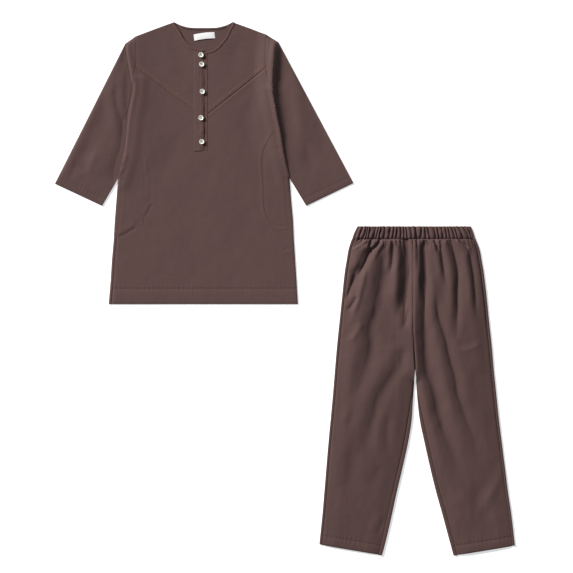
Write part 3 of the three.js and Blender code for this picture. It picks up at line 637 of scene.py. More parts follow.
# Creases on the tunic's front
frontCreases = [
    fold(pocketEdge["left"], half=3, dip=-0.3, drop=-0.08, start=0.05, end=0.1),
    fold(pocketEdge["right"], half=2, dip=-0.45, drop=0.15, start=0.02, end=0.05),
    fold([(-116.7, 228.6), (-125, 214), (-133.2, 197.5)], half=2.8, drop=0.42, start=0.2, end=0.2),
    fold([(-135.7, 197.5), (-136, 187), (-135.7, 177.3)], half=2.4, drop=0.2, start=0.2, end=0.2),
    fold([(-150.7, 177.3), (-173.4, 162.8), (-193.6, 153.7)], half=3.2, drop=0.5, start=0.2, end=0.1),
    fold([(-172, 348), (-177, 332), (-181, 316)], half=3, drop=-0.5, end=0.3),
    fold([(-174, 312), (-179, 300), (-186, 290)], half=2.6, drop=0.4, end=0.3),
    fold([(180, 121), (190, 122), (200, 123)], half=2.6, drop=0.35, end=0.2),
    fold([(158.7, 355.7), (167.1, 350.3), (175.7, 353.9)], half=2.2, dip=0.4, end=0.3),
    fold([(-204.5, 38), (-205, 20), (-206, 0)], half=1.6, dip=0.8, start=0.1, end=0.1),
    fold([(-66, 250), (-50, 190), (-58, 100)], half=26, drop=0.5, start=0.4),
    fold([(70, 330), (64, 240), (76, 120)], half=30, drop=0.5, start=0.4),
    fold([(-40, 420), (-90, 340), (-110, 250)], half=24, drop=0.7, start=0.4),
    fold([(100, 480), (84, 420), (92, 330)], half=22, drop=0.6, start=0.4),
    fold([(-100, 600), (-70, 560), (-50, 500)], half=16, drop=0.5, start=0.4),
    fold([(84, 612), (60, 570), (52, 500)], half=16, drop=0.5, start=0.4),
]


# Puckers that a row of stitches draws into the cloth on both sides of it
def puckers(line, x, y, reach, pitch, height, seed):
    distance, side, share = nearLine(line, x, y)
    length = np.hypot(*np.diff(line, axis=0).T).sum()
    at = share * length
    wave = np.sin(2 * math.pi * at / pitch + 2.2 * latticeNoise(at / 31, side * 0 + seed, seed))
    strength = 0.55 + 0.45 * latticeNoise(at / 19, side * 0 + 3.3, seed + 1)
    return height * wave * strength * bell(distance, reach)


# The groove that a hem's row of stitches sinks into the cloth: sharp on the garment's side, easy on the hem's
def hemGroove(above):
    return bell(above, np.where(above > 0, 0.8, 4.2))


hemLine = np.array([(-210, hemDepth), (210, hemDepth)], float)
yokeLine = {
    "left": straight([yokeSeam["left"], yokeSeam["tipLeft"]], 6),
    "right": straight([yokeSeam["tipRight"], yokeSeam["right"]], 6),
}


def tunicHalf(key, y):
    return np.interp(y, tunicSide["y"], tunicSide[key])


# How the cloth rises towards the fold at the armhole, and how far outside the fold a point lies
def armLift(side, x, y):
    distance, hand, share = nearLine(foldLine[side], x, y)
    outward = distance * hand * signOf[side]
    near = np.interp(y, foldHeight["y"], foldHeight[side])
    startsAt = -80 if side == "left" else -46 - 30 * smoothStep(-y, -490, -410)
    return near * (0.7 * smoothStep(outward, startsAt, -3) + 0.3 * smoothStep(outward, -14, -2)), outward


# The groove of the armhole seam, which fades out below the yoke, and how far the cloth beside it is free to wave
def armSeam(side, x, y):
    distance = nearLine(seamLine[side], x, y)[0]
    start = armhole["left"]["seam"][-1][1] - 14 if side == "left" else 515
    groove = 0.45 * bell(distance, 1.3) * smoothStep(y, start, start + 25)
    return groove, 1 - 0.9 * bell(distance, 12)


# The front's upper surface: heights and widths in mm
frontSpec = {
    "base": 2.5,
    "lowest": 1.2,
    "overSleeve": 1.5,
    "roll": 1.3,
    "leftRoll": {"height": 1.6, "width": 8},
    "bag": {"rise": 0.4, "edge": 12, "fade": 70},
    "yokeGroove": {"depth": 0.8, "width": 0.9},
    "yokeRidge": {"height": 0.25, "at": 5, "width": 3.5},
    "hem": {"rise": 0.4, "reach": 16, "groove": 0.5, "grooveAt": 0.3},
    "sideEdge": {"height": 1.4, "width": 1.7, "share": 0.75},
    "hemEdge": {"drop": 1.2, "width": 1.5},
    "waves": [(0.45, 70, 95, 3), (0.10, 15, 19, 9)],
    "puckers": {"reach": 9, "pitch": 9.5, "height": 0.16, "seed": 21},
}


def bagOutline(side):
    sign, foot = signOf[side], 154 if side == "left" else 173
    return np.array(pocketLines[side] + [(sign * 190, foot), (sign * 176, 340)], float)


def frontSide(side, x, y):
    spec = frontSpec
    rise, outward = armLift(side, x, y)
    seamEnd = armhole[side]["seam"][-1][1]
    below = 1 - smoothStep(y, seamEnd - 12, seamEnd + 4)
    overSleeve = spec["overSleeve"] * smoothStep(outward, -40, -18) * smoothStep(y, 225, 262) * below
    sunk, loose = armSeam(side, x, y)
    # the fold's own round edge
    roll = 0.45 * rise * fall(-outward, spec["roll"]) * smoothStep(outward, -8, 0)
    roll = roll * (1 - smoothStep(y, seamEnd - 24, seamEnd - 10))
    if side == "left":
        shown = smoothStep(y, 320, 365) * (1 - smoothStep(y, 415, 470))
        roll = roll + spec["leftRoll"]["height"] * fall(-outward, spec["leftRoll"]["width"]) * shown
    height = np.where(np.sign(x) == signOf[side], rise + overSleeve - sunk - roll, 0)
    edge = nearLine(curve(pocketLines[side], 6), x, y)[0]
    bag, bagTop = spec["bag"], pocketLines[side][0][1]
    lifted = bag["rise"] * smoothStep(edge, 0, bag["edge"]) * (1 - smoothStep(y, bagTop - bag["fade"], bagTop))
    height = height + np.where(insideOutline(bagOutline(side), x, y), lifted, 0)
    seam, groove, ridge = nearLine(yokeLine[side], x, y)[0], spec["yokeGroove"], spec["yokeRidge"]
    height = height - groove["depth"] * bell(seam, groove["width"])
    return height + ridge["height"] * bell(seam - ridge["at"], ridge["width"]), loose


def frontTop(x, y):
    spec = frontSpec
    height = np.full(x.shape, spec["base"])
    free = np.ones(x.shape)
    for side in signOf:
        rise, loose = frontSide(side, x, y)
        height = height + rise
        free = free * loose
    height = height + foldRelief(frontCreases, x, y)
    height = height + free * waves(spec["waves"], x, y)
    height = height + puckers(hemLine, x, y, **spec["puckers"])
    hem, side, foot = spec["hem"], spec["sideEdge"], spec["hemEdge"]
    height = height + hem["rise"] * smoothStep(-y, -hemDepth, -hemDepth + hem["reach"])
    height = height - hem["groove"] * hemGroove(y - hemDepth + hem["grooveAt"])
    fromLeft = x - tunicHalf("left", y) - np.where(y < sideLap["top"], sideLap["inset"], 0)
    fromSides = np.minimum(fromLeft, tunicHalf("right", y) - x)
    soft = np.where(y < armpitY, fall(fromSides, side["width"]), 0)
    height = height - soft * (height - side["height"]) * side["share"]
    height = height - foot["drop"] * fall(y, foot["width"])
    return np.maximum(height, spec["lowest"])


def sideRows(key, low, high, inset=0.0):
    ys = [y for y in tunicSide["y"] if low < y < high]
    return [(np.interp(y, tunicSide["y"], tunicSide[key]) + inset, y) for y in [low, *ys, high]]


def frontArmhole(side, low, high):
    inward = 0.25 * signOf[side]
    end = armhole[side]["seam"][-1][1]
    upper = curve([(x + inward, y) for x, y in sleeveStart(side)], 4)
    lower = curve(armhole[side]["fold"], 4)
    line = [tuple(p) for p in upper if p[1] > end] + [tuple(p) for p in lower if p[1] < end - 12]
    return [p for p in line if low < p[1] < high]


def makeFront():
    top = armpitY + 0.4
    left = sideRows("left", 0, sideLap["top"] - 4, sideLap["inset"]) + sideRows("left", sideLap["top"], top)
    right = sideRows("right", 0, top)
    armLeft = frontArmhole("left", top + 1, yokeSeam["left"][1] - 0.6)
    armRight = frontArmhole("right", top + 1, yokeSeam["right"][1] - 0.6)
    slotLeft, slotRight = placket["slot"], placket["right"] + placket["gap"]
    slotFoot = placket["bottom"] - placket["gap"]
    slot = [
        (yokeSeam["right"][0], yokeSeam["right"][1] - 0.4), (slotRight, yokeSeam["tipRight"][1] - 0.5),
        (slotRight, slotFoot), (slotLeft, slotFoot),
        (slotLeft, yokeSeam["tipLeft"][1] - 0.5), (yokeSeam["left"][0], yokeSeam["left"][1] - 0.4),
    ]
    outline = right + armRight[::-1] + slot + armLeft + left[::-1]
    fine = [*(curve(pocketLines[side], 8) for side in signOf), hemLine, *yokeLine.values()]
    piece = clothPanel(
        "tunicFront", outline, frontTop, tunicAt, poplin, step=2.6, fineLines=fine, fineStep=1.4, fineReach=4.5
    )
    return finishPiece(piece, "tunic_front")


def makeYoke(side):
    left = side == "left"
    neck = curve(frontNeckLeft if left else frontNeckRight, 4)
    inner = placket["slot"] if left else placket["right"] + placket["gap"]
    neckPart = [tuple(p) for p in neck if (p[0] < inner if left else p[0] > inner)]
    crest = [tuple(p) for p in curve(mirrored(shoulder) if left else shoulder, 5)]
    corner = yokeSeam[side]
    arm = frontArmhole(side, corner[1] + 0.5, 604)
    tip = yokeSeam["tipLeft" if left else "tipRight"]
    if left:
        outline = [corner, tip, (inner, 577)] + neckPart[::-1] + crest[1:-1] + arm
    else:
        outline = [tip, corner] + arm[::-1] + crest[1:-1][::-1] + neckPart[::-1] + [(inner, 570.4)]
    name = "yokeLeft" if left else "yokeRight"
    piece = clothPanel(
        name, outline, frontTop, tunicAt, poplin, step=2.8, fineLines=[yokeLine[side]], fineStep=1.7, fineReach=6
    )
    return finishPiece(piece, "yoke_" + side)


# The back: flat on the table, its left edge turned up beside the front's hem
def backTop(x, y):
    height = np.full(x.shape, 0.8) + 0.08 * (1 + rumple(x, y, 60, 60, 12))
    edge = x - tunicHalf("left", y)
    turned = smoothStep(edge, 0, 2.2) * (1 - smoothStep(edge, 6.0, 7.4)) * (1 - smoothStep(y, 150, 160))
    height = height + 1.5 * turned
    facing = nearLine(backFacing, x, y)[0]
    height = height + 0.22 * bell(facing, 1.0)
    return height + 0.35 * smoothStep(y, 585, 622) * np.exp(-((x / 52) ** 4))


backFacing = curve([(-60, 628), (-49.4, 622), (-31.5, 617.6), (0, 616.6), (31.5, 617.6), (49.4, 622), (60, 628)], 6)


def makeBack():
    left = [tuple(p) for p in curve(sleeveStart("left"), 6) + np.array([0.3, 0])]
    right = [tuple(p) for p in curve(sleeveStart("right"), 6) - np.array([0.3, 0])]
    neck = curve(backNeck, 5)
    outline = (
        sideRows("right", 0, 282)
        + [(191.3, 285.6), (right[-1][0], 287)]
        + right[:-1][::-1]
        + [tuple(p) for p in curve(shoulder, 6)[:-1][::-1]]
        + [tuple(p) for p in neck[1:]]
        + [(-x, y) for x, y in neck[1:-1][::-1]]
        + mirrored([tuple(p) for p in curve(shoulder, 6)[:-1]])
        + left[:-1]
        + [(left[-1][0], 287), (-189.4, 285.6)]
        + sideRows("left", 0, 282)[::-1]
    )
    edge = straight([(-207, 2), (-200, 155)], 20)
    piece = clothPanel(
        "tunicBack", outline, backTop, tunicAt, poplin,
        step=6.0, fineLines=[edge, backFacing], fineStep=2.0, fineReach=9,
    )
    return finishPiece(piece, "tunic_back")


# Sleeves: a flat tube from the armhole seam to the cuff, rising to the fold beside the body
sleeveFolds = {
    "left": [
        fold([(-180, 590), (-186, 560), (-188, 535)], half=8, drop=0.4, start=0.2, end=0.3),
        fold([(-179.6, 526), (-178.4, 485), (-177.3, 451), (-172.7, 406)], half=5.5, drop=0.35, start=0.2, end=0.3),
        fold(
            [(-204.5, 496), (-202, 462), (-195.4, 428), (-184, 394), (-179.6, 371)],
            half=7.5, drop=0.6, start=0.2, end=0.3,
        ),
        fold([(-288, 344), (-298, 310), (-309, 282)], half=7, drop=0.35, start=0.4, end=0.3),
        fold([(-246, 352), (-258, 322), (-266, 292)], half=9, drop=-0.7, end=0.2),
        fold([(-214, 530), (-214, 480), (-212, 430), (-214, 380)], half=9, drop=-0.4),
        fold([(-240, 440), (-262, 380), (-290, 320)], half=16, drop=0.8, start=0.4),
        fold([(-205, 360), (-214, 310), (-228, 270)], half=12, drop=0.4),
        fold([(-228, 470), (-236, 430), (-238, 380)], half=12, drop=0.3),
    ],
    "right": [
        fold([(190, 560), (200, 480), (208, 400), (216, 330)], half=14, drop=-1),
        fold([(232, 470), (250, 400), (272, 330)], half=16, drop=0.7, start=0.4),
        fold([(222, 380), (228, 330), (242, 280)], half=10, drop=0.6),
    ],
}
cuffHem = 18.0


def cuffShift(side):
    a, b = (np.array(p, float) for p in armhole[side]["cuff"])
    return a, b, waysOf(a, b)[1]


def cuffLine(side, depth, inset=0.0):
    a, b, up = cuffShift(side)
    outer, inner = np.array([armhole[side]["tip"], armhole[side]["armpit"]], float)
    first = a + (outer - a) / np.dot(outer - a, up) * depth
    last = b + (inner - b) / np.dot(inner - b, up) * depth
    way = (last - first) / np.hypot(*(last - first))
    return straight([first + way * inset, last - way * inset], 4)


sleeveSpec = {
    "base": 2.6,
    "lowest": 1.7,
    "ridge": 2.3,
    "crevice": {"depth": 0.8, "at": 3.6, "width": 1.2},
    "loft": 1.2,
    "valley": {"depth": 2.2, "at": 1, "width": 11},
    "break": {"low": 0.45, "high": 0.25, "width": 2.4},
    "shadeRamp": {"y": [330, 480, 560], "length": [10.5, 11.5, 13]},
    "folds": 1.3,
    "cuff": {"rise": 0.15, "groove": 0.3, "edge": 1.0, "edgeWidth": 1.5},
    "waves": [(0.4, 60, 80, 17), (0.10, 14, 18, 31)],
    "puckers": {"reach": 8, "pitch": 8.5, "height": 0.16},
}


def sleeveTop(side):
    sign = signOf[side]
    spec = sleeveSpec
    cuff = cuffLine(side, cuffHem)

    def top(x, y):
        rise, outward = armLift(side, x, y)
        seamEnd = armhole[side]["seam"][-1][1]
        out = np.maximum(outward, 0)
        shown = smoothStep(y, seamEnd - 26, seamEnd - 12)
        sunk, loose = armSeam(side, x, y)
        if side == "left":
            # a thin ridge, a crevice beside it, and cloth that lofts again away from it
            crevice, valley = spec["crevice"], spec["valley"]
            height = spec["base"] + rise * bell(out, spec["ridge"]) * shown - sunk
            shut = crevice["depth"] * bell(outward - crevice["at"], crevice["width"])
            height = height - shut * smoothStep(y, 300, 360)
            height = height + spec["loft"] * smoothStep(outward, 2, 30) * smoothStep(y, 225, 330)
            low = smoothStep(y, 262, 300) * (1 - smoothStep(y, 390, 440))
            height = height - valley["depth"] * bell(outward - valley["at"], valley["width"]) * low
        else:
            # the cloth breaks sharply over the fold and runs down to the sleeve in its own shadow
            steep, shade = spec["break"], spec["shadeRamp"]
            high = smoothStep(y, 478, 520)
            sharp = steep["low"] + (steep["high"] - steep["low"]) * high
            ramp = np.exp(-out / np.interp(y, shade["y"], shade["length"]))
            ramp = ramp * (1 - high) + high * (1 - smoothStep(out, -6, 19))
            height = spec["base"] + rise * (sharp * bell(out, steep["width"]) * shown + (1 - sharp) * ramp) - sunk
        height = height + spec["folds"] * foldRelief(sleeveFolds[side], x, y) * smoothStep(outward, 1, 9)
        height = height + loose * waves(spec["waves"], x, y, sign)
        height = height + puckers(cuff, x, y, **spec["puckers"], seed=50 + sign)
        a, _, up = cuffShift(side)
        depth, hem = (x - a[0]) * up[0] + (y - a[1]) * up[1], spec["cuff"]
        height = height + hem["rise"] * (1 - smoothStep(depth, cuffHem - 9, cuffHem))
        height = height - hem["groove"] * hemGroove(depth - cuffHem + 0.3)
        height = height - hem["edge"] * fall(depth, hem["edgeWidth"])
        return np.maximum(height, spec["lowest"])

    return top


def spaced(points, count):
    line = curve(points, 2.0)
    return pointsAt(line, np.linspace(0, runLength(line)[-1], count))


sleeveMesh = {"across": 90, "first": 13, "second": 120, "radius": 1.35, "soften": 3.5, "underside": 0.02}


def makeSleeve(side):
    sign = signOf[side]
    top = sleeveTop(side)
    across, radius, low = sleeveMesh["across"], sleeveMesh["radius"], sleeveMesh["underside"]
    start = spaced(sleeveStart(side), across)
    shown = [p for p in armhole[side]["fold"] if p[1] >= armhole[side]["seam"][-1][1] - 15 and p[1] < 560]
    hidden = [(x - sign * 2, y) for x, y in lowFold(side)[:-1]]
    corner = armhole[side]["fold"][-1]
    beside = [armhole[side]["tip"]] + [(x + sign * 4, y) for x, y in shown] + hidden + [(corner[0] - sign * 2, 287.2)]
    step = spaced(beside, across)
    cuff = spaced(armhole[side]["cuff"], across)
    first = np.linspace(0, 1, sleeveMesh["first"])[:-1]
    second = np.linspace(0, 1, sleeveMesh["second"])
    lines = [start * (1 - t) + step * t for t in first] + [step * (1 - t) + cuff * t for t in second]
    outer, inner = [], []
    for line in lines:
        ends = []
        for tip, beyond in ((line[0], line[1]), (line[-1], line[-2])):
            out = (tip - beyond) / np.hypot(*(tip - beyond))
            ends.append((tip - out * radius, out))
        line[0], line[-1] = ends[0][0], ends[1][0]
        heights = top(line[:, 0], line[:, 1])
        fromEnds = np.minimum(np.hypot(*(line - line[0]).T), np.hypot(*(line - line[-1]).T))
        soften = 1 - fall(fromEnds, sleeveMesh["soften"])
        heights = 2 * radius + (heights - 2 * radius) * soften

        def ring(r, low, drop):
            row = [(x, y, low) for x, y in line]
            for centre, out, turn in ((ends[1][0], ends[1][1], 1), (ends[0][0], ends[0][1], -1)):
                if turn < 0:
                    row += [(x, y, z - drop) for (x, y), z in zip(line[::-1], heights[::-1])]
                for degrees in (-60, -30, 0, 30, 60):
                    angle = math.radians(degrees * turn)
                    spot = centre + out * r * math.cos(angle)
                    row.append((spot[0], spot[1], radius + r * math.sin(angle)))
            return row

        outer.append(ring(radius, low, 0.0))
        inner.append(ring(radius - shellThickness, low + shellThickness, shellThickness))
    outer, inner = np.array(outer), np.array(inner)
    if side == "right":
        outer, inner = outer[:, ::-1], inner[:, ::-1]
    piece = clothGrid("sleeve" + side.capitalize(), outer, inner, tunicAt, poplin, closed=True)
    return finishPiece(piece, "sleeve_" + side)


tunicBack = makeBack()
tunicFront = makeFront()
yokes = {side: makeYoke(side) for side in armhole}
sleeves = {side: makeSleeve(side) for side in armhole}
print("tunic panels laid")


# Pocket bags: hidden between front and back, one layer of the same cloth
def makePocketBags():
    for side, sign in signOf.items():
        line = [p for p in pocketLines[side] if abs(p[0]) < 186]
        low = 160 if side == "left" else 177
        outline = line + [(sign * 188, low), (sign * 184, 262), (sign * 160, 335 if side == "left" else 372)]
        if side == "right":
            outline = [(158, 388)] + outline[1:]
        piece = clothPanel(
            "pocketBag" + side.capitalize(), outline, lambda x, y: np.full(x.shape, 1.55),
            tunicAt, poplin, step=9, thickness=0.4,
        )
        finishPiece(piece, "pocket_bag_" + side)


# The placket: under strip, upper lap with its free edge to the right, and its box of stitching
def underTop(x, y):
    return 2.2 + 0.1 * rumple(x, y, 9, 30, 61) - 0.5 * smoothStep(x, placket["right"] - 1.2, placket["right"] + 0.2)


# Where the lap's free edge gapes: height, place and half length of each gap
gapes = [(1.4, 391, 14), (0.5, 503, 8), (0.4, 442, 8), (0.8, 355, 6)]


def gape(y):
    return sum(high * bell(y - at, half) for high, at, half in gapes)


def overTop(x, y):
    crown = 0.35 * bell(x + 10, 8)
    sag = (0.35 * np.sin(y / 31.0) + gape(y)) * smoothStep(x, -12, 1)
    edge = -0.5 * smoothStep(x, -7, 0.5) - 0.2 * np.exp(-(placket["freeEdge"] - x) / 0.9)
    edge = edge - 0.5 * np.exp(-(x - placket["left"]) / 0.9)
    return 3.5 + crown + sag + edge + 0.10 * rumple(x, y, 10, 16, 64)


def makePlacket():
    left, right, slot, low = placket["left"], placket["right"], placket["slot"] + placket["gap"], placket["bottom"]
    outline = [(slot, low), (right, low), (right, 569.9), (slot, 568.8)]
    under = clothPanel("placketUnder", outline, underTop, tunicAt, poplin, step=2.4)
    finishPiece(under, "placket_under")
    free, low = placket["freeEdge"], placket["bottom"] - 1
    outline = [(left, low), (free, low), (free, 569.1), (placket["foldTop"], 571.7), (left, 573.3)]
    over = clothPanel("placketOver", outline, overTop, tunicAt, poplin, step=1.6)
    finishPiece(over, "placket_over")
    return under, over


# Neck binding: a rolled strip of cloth round the neck's edge, each length with its own height
bindingSpec = {
    "width": 5.0,
    "columns": 9,
    "rise": 0.95,
    "thickness": 0.5,
    "sewnAt": 0.9,  # from its outer edge
    "base": {"back": 1.35, "left": 3.0, "right": 2.6},
}


def makeBinding(name, points, base, node, lift):
    line = curve(points, 2.5)
    along = np.gradient(line, axis=0)
    along /= np.hypot(*along.T)[:, None]
    normal = np.column_stack([along[:, 1], -along[:, 0]])
    columns = []
    for share in np.linspace(0, 1, bindingSpec["columns"]):
        z = base + bindingSpec["rise"] * math.sin(math.pi * min(share * 0.85 + 0.12, 1)) ** 0.6
        spot = line + normal * (share * bindingSpec["width"])
        z = z + lift(spot[:, 0], spot[:, 1]) + 0.06 * rumple(spot[:, 0], spot[:, 1], 7, 7, 77)
        columns.append(np.column_stack([spot, z]))
    outer = np.stack(columns, axis=1)
    inner = outer - np.array([0, 0, bindingSpec["thickness"]])
    piece = clothGrid(name, outer, inner, tunicAt, poplin)
    finishPiece(piece, node)
    return piece, line + normal * (bindingSpec["width"] - bindingSpec["sewnAt"])


def makeBindings():
    backEdge = sorted(mirrored(backNeck[1:]) + backNeck[1:-1])
    bindings = {}
    flatLift = lambda x, y: np.zeros(x.shape)
    frontLift = lambda x, y: frontTop(x, y) - frontSpec["base"]
    for part, points, lift in (
        ("back", backEdge, flatLift),
        ("left", frontNeckLeft, frontLift),
        ("right", frontNeckRight, frontLift),
    ):
        base = bindingSpec["base"][part]
        piece, seam = makeBinding("neckBinding" + part.capitalize(), points, base, "neck_binding_" + part, lift)
        bindings[part] = piece, (seam, lambda x, y, base=base, lift=lift: base + 0.75 + lift(x, y))
    return bindings


makePocketBags()
placketUnder, placketOver = makePlacket()
bindings = makeBindings()
print("placket and neck made")

# Neck label: plain white tape, a little arched, sewn down at both ends
labelSpec = {
    "width": 47.4,
    "height": 14.0,
    "thickness": 0.35,
    "x": 2.4,
    "y": 604.4,
    "tilt": 0.12,
    "bow": 1.2,
    "base": 1.75,
    "arch": 1.3,
    "sewnAt": (0.47, 0.44),  # shares of its width and height
}


# A place on the label, from shares of its width and height, in the tunic's frame
def onLabel(us, vs):
    spec = labelSpec
    c, s = math.cos(spec["tilt"]), math.sin(spec["tilt"])
    lx = us * spec["width"]
    ly = vs * spec["height"] + spec["bow"] * (1 - (2 * us) ** 2)
    return spec["x"] + c * lx - s * ly, spec["y"] + s * lx + c * ly


def makeLabel():
    spec = labelSpec
    us, vs = np.meshgrid(np.linspace(-0.5, 0.5, 40), np.linspace(-0.5, 0.5, 12))
    x, y = onLabel(us, vs)
    z = spec["base"] + spec["arch"] * (1 - (2 * us) ** 4) * (0.6 + 0.4 * np.cos(vs * 2.4))
    z = z + 0.08 * rumple(x, y, 9, 9, 81)
    outer = np.dstack([x, y, z])
    inner = outer - np.array([0, 0, spec["thickness"]])
    piece = clothGrid("neckLabel", outer, inner, tunicAt, labelTape)
    finishPiece(piece, "neck_label")
    (u, v), top = spec["sewnAt"], lambda x, y: np.full(np.shape(x), spec["base"] + 0.42)
    ends = [(straight([onLabel(end, -v), onLabel(end, v)], 2), top) for end in (-u, u)]
    sewn = finishPiece(stitches("labelStitches", ends, tunicAt, whiteThread, pitch=2.2, radius=0.22), None)


makeLabel()

# Buttons: turned with a raised rim and a dished middle, four holes, sewn on with brown thread
buttonSpec = {
    "places": [(-4.9, 562.1), (-3.3, 541), (-1.9, 479.4), (-5, 420), (-3.2, 366.4)],
    "radius": 5.8,
    "height": 2.6,
    "dish": 4.0,
    "depth": 1.1,  # of the dish's floor below the rim
    "holeAt": 1.25,
    "hole": 0.7,
    "base": 3.95,
    "segments": 48,
    "holeSegments": 12,
}
buttonThread = {"rows": (-1, 1, -1.25, 0.75), "levels": 9, "sides": 6, "radius": 0.28, "arch": 0.42, "sunk": 0.9}


# The floor of the dish or the underside, with its four holes; gives the holes' rims as numbers of points
def buttonFloor(points, faces, first, z, upward):
    spec = buttonSpec
    segments, at, hole = spec["segments"], spec["holeAt"], spec["hole"]
    flat = [Vector(points[first + k][:2]) for k in range(segments)]
    centres = [(at, at), (at, -at), (-at, -at), (-at, at)]
    rings = []
    for centre in centres:
        rings.append(list(range(len(flat), len(flat) + spec["holeSegments"])))
        flat += [Vector(p) for p in np.array(centre) + circle(hole, spec["holeSegments"])]
    loops = [list(range(segments))] + [ring[::-1] for ring in rings]
    made = geometry.delaunay_2d_cdt(flat, [], loops, 0, 1e-5)
    verts, start = made[0], len(points)
    points += [(v[0], v[1], z) for v in verts]
    for tri in made[2]:
        middle = sum((verts[t] for t in tri), Vector((0, 0))) / 3
        if any((middle - Vector(centre)).length < hole * 0.93 for centre in centres):
            continue
        corners = tuple(start + t for t in tri)
        faces.append(corners if upward else corners[::-1])
    known = {tuple(round(c, 4) for c in v): start + n for n, v in enumerate(verts)}
    return [[known[tuple(round(c, 4) for c in flat[k])] for k in ring] for ring in rings]


def makeButton(number, place):
    spec = buttonSpec
    r, h, dish, segments = spec["radius"], spec["height"], spec["dish"], spec["segments"]
    floor = h - spec["depth"]
    profile = [
        (r * 0.5, 0.0), (r - 0.9, 0.05), (r - 0.3, 0.4), (r, 1.0), (r, 1.5), (r - 0.15, 2.1), (r - 0.6, h),
        (r - 1.1, h), (r - 1.5, h - 0.25), (dish, h - 0.85), (dish - 1.0, h - 1.05), (2.6, floor),
    ]
    points = [(x, y, z) for radius, z in profile for x, y in circle(radius, segments)]
    faces = []
    for i in range(len(profile) - 1):
        for k in range(segments):
            m = (k + 1) % segments
            faces.append((i * segments + k, i * segments + m, (i + 1) * segments + m, (i + 1) * segments + k))
    upper = buttonFloor(points, faces, (len(profile) - 1) * segments, floor, True)
    lower = buttonFloor(points, faces, 0, 0.0, False)
    for above, below in zip(upper, lower):
        for k in range(len(above)):
            m = (k + 1) % len(above)
            faces.append((above[k], above[m], below[m], below[k]))
    world = np.array(points) + np.array([place[0], place[1], spec["base"]])
    piece = toMesh(f"button{number}", world, faces, tunicAt, pearl, 40)
    mesh = piece.data
    weld = piece.modifiers.new("weld", "WELD")
    weld.merge_threshold = 0.00001
    bpy.context.view_layer.update()
    piece.data = bpy.data.meshes.new_from_object(piece.evaluated_get(bpy.context.evaluated_depsgraph_get()))
    piece.modifiers.clear()
    bpy.data.meshes.remove(mesh)
    finishPiece(piece, f"button_{number}")
    sewButton(number, place, floor)


# Four strands of thread over the bars between the holes
def sewButton(number, place, floor):
    spec, thread = buttonSpec, buttonThread
    count, ring = thread["levels"], thread["sides"]
    points, faces = [], []
    for row in thread["rows"]:
        first = len(points)
        for i in range(count):
            t = i / (count - 1)
            x = spec["holeAt"] * (-1 + 2 * t) + place[0]
            y = spec["holeAt"] * row + place[1]
            z = spec["base"] + floor + thread["arch"] * math.sin(math.pi * t)
            z -= thread["sunk"] if i in (0, count - 1) else 0
            points += [(x, y + across, z + up) for across, up in circle(thread["radius"], ring)]
        for i in range(count - 1):
            p = first + i * ring
            for k in range(ring):
                m = (k + 1) % ring
                faces.append((p + k, p + ring + k, p + ring + m, p + m))
        last = first + (count - 1) * ring
        faces += [tuple(first + k for k in range(ring)), tuple(last + ring - 1 - k for k in range(ring))]
    sewn = toMesh(f"button{number}Thread", points, faces, tunicAt, shadedBrownThread, 80)
    finishPiece(sewn, None)


for number, place in enumerate(buttonSpec["places"], 1):
    makeButton(number, place)
print("buttons sewn on")


# Topstitching on the tunic
def yokeRow(side, away):
    a, b = yokeLine[side][0], yokeLine[side][-1]
    way, up = waysOf(a, b)
    return straight([a + up * away + way * 1.0, b + up * away - way * 1.5], 4)


def sew(name, rows, place, thread, radius=None):
    sink = 0.3 if thread == shadedBrownThread else 0.0
    return finishPiece(stitches(name, rows, place, thread, radius=radius, sink=sink), None)


def sewTunic():
    hem = straight([(-205.5, hemDepth), (210.5, hemDepth)], 4)
    hemSewn = sew("tunicHemStitch", [(hem, frontTop)], tunicAt, shadedBrownThread, 0.3)
    facing = sew("neckFacingStitch", [bindings["back"][1]], tunicAt, shadedBrownThread, 0.3)
    for side in armhole:
        rows = [(yokeRow(side, 2.4), frontTop), (yokeRow(side, 7.2), frontTop)]
        sewn = sew("yokeStitch" + side.capitalize(), rows, tunicAt, seamThread, 0.24 if side == "left" else 0.27)
        neckSewn = sew("neckStitch" + side.capitalize(), [bindings[side][1]], tunicAt, seamThread, 0.2)
        row = (cuffLine(side, cuffHem, 2.5), sleeveTop(side))
        cuff = sew("cuffStitch" + side.capitalize(), [row], tunicAt, shadedBrownThread, 0.3)
        outline = sleeveStart(side) + armhole[side]["cuff"][::-1] + [armhole[side]["tip"]]
    lines = [[(-19.9, 349), (-1.0, 349)], [(-5.0, 572), (-5.0, 354)]]
    sewn = sew("placketStitch", [(straight(line, 4), overTop) for line in lines], tunicAt, seamThread)
    fold = sew("placketFoldStitch", [(straight([(-19.9, 568), (-19.9, 350)], 4), overTop)], tunicAt, shadedBrownThread, 0.3)
    lines = [[(8.2, 566), (8.2, 349)], [(2.0, 349), (7.6, 349)]]
    edge = sew("placketEdgeStitch", [(straight(line, 4), underTop) for line in lines], tunicAt, seamThread)


sewTunic()
print("tunic stitched")

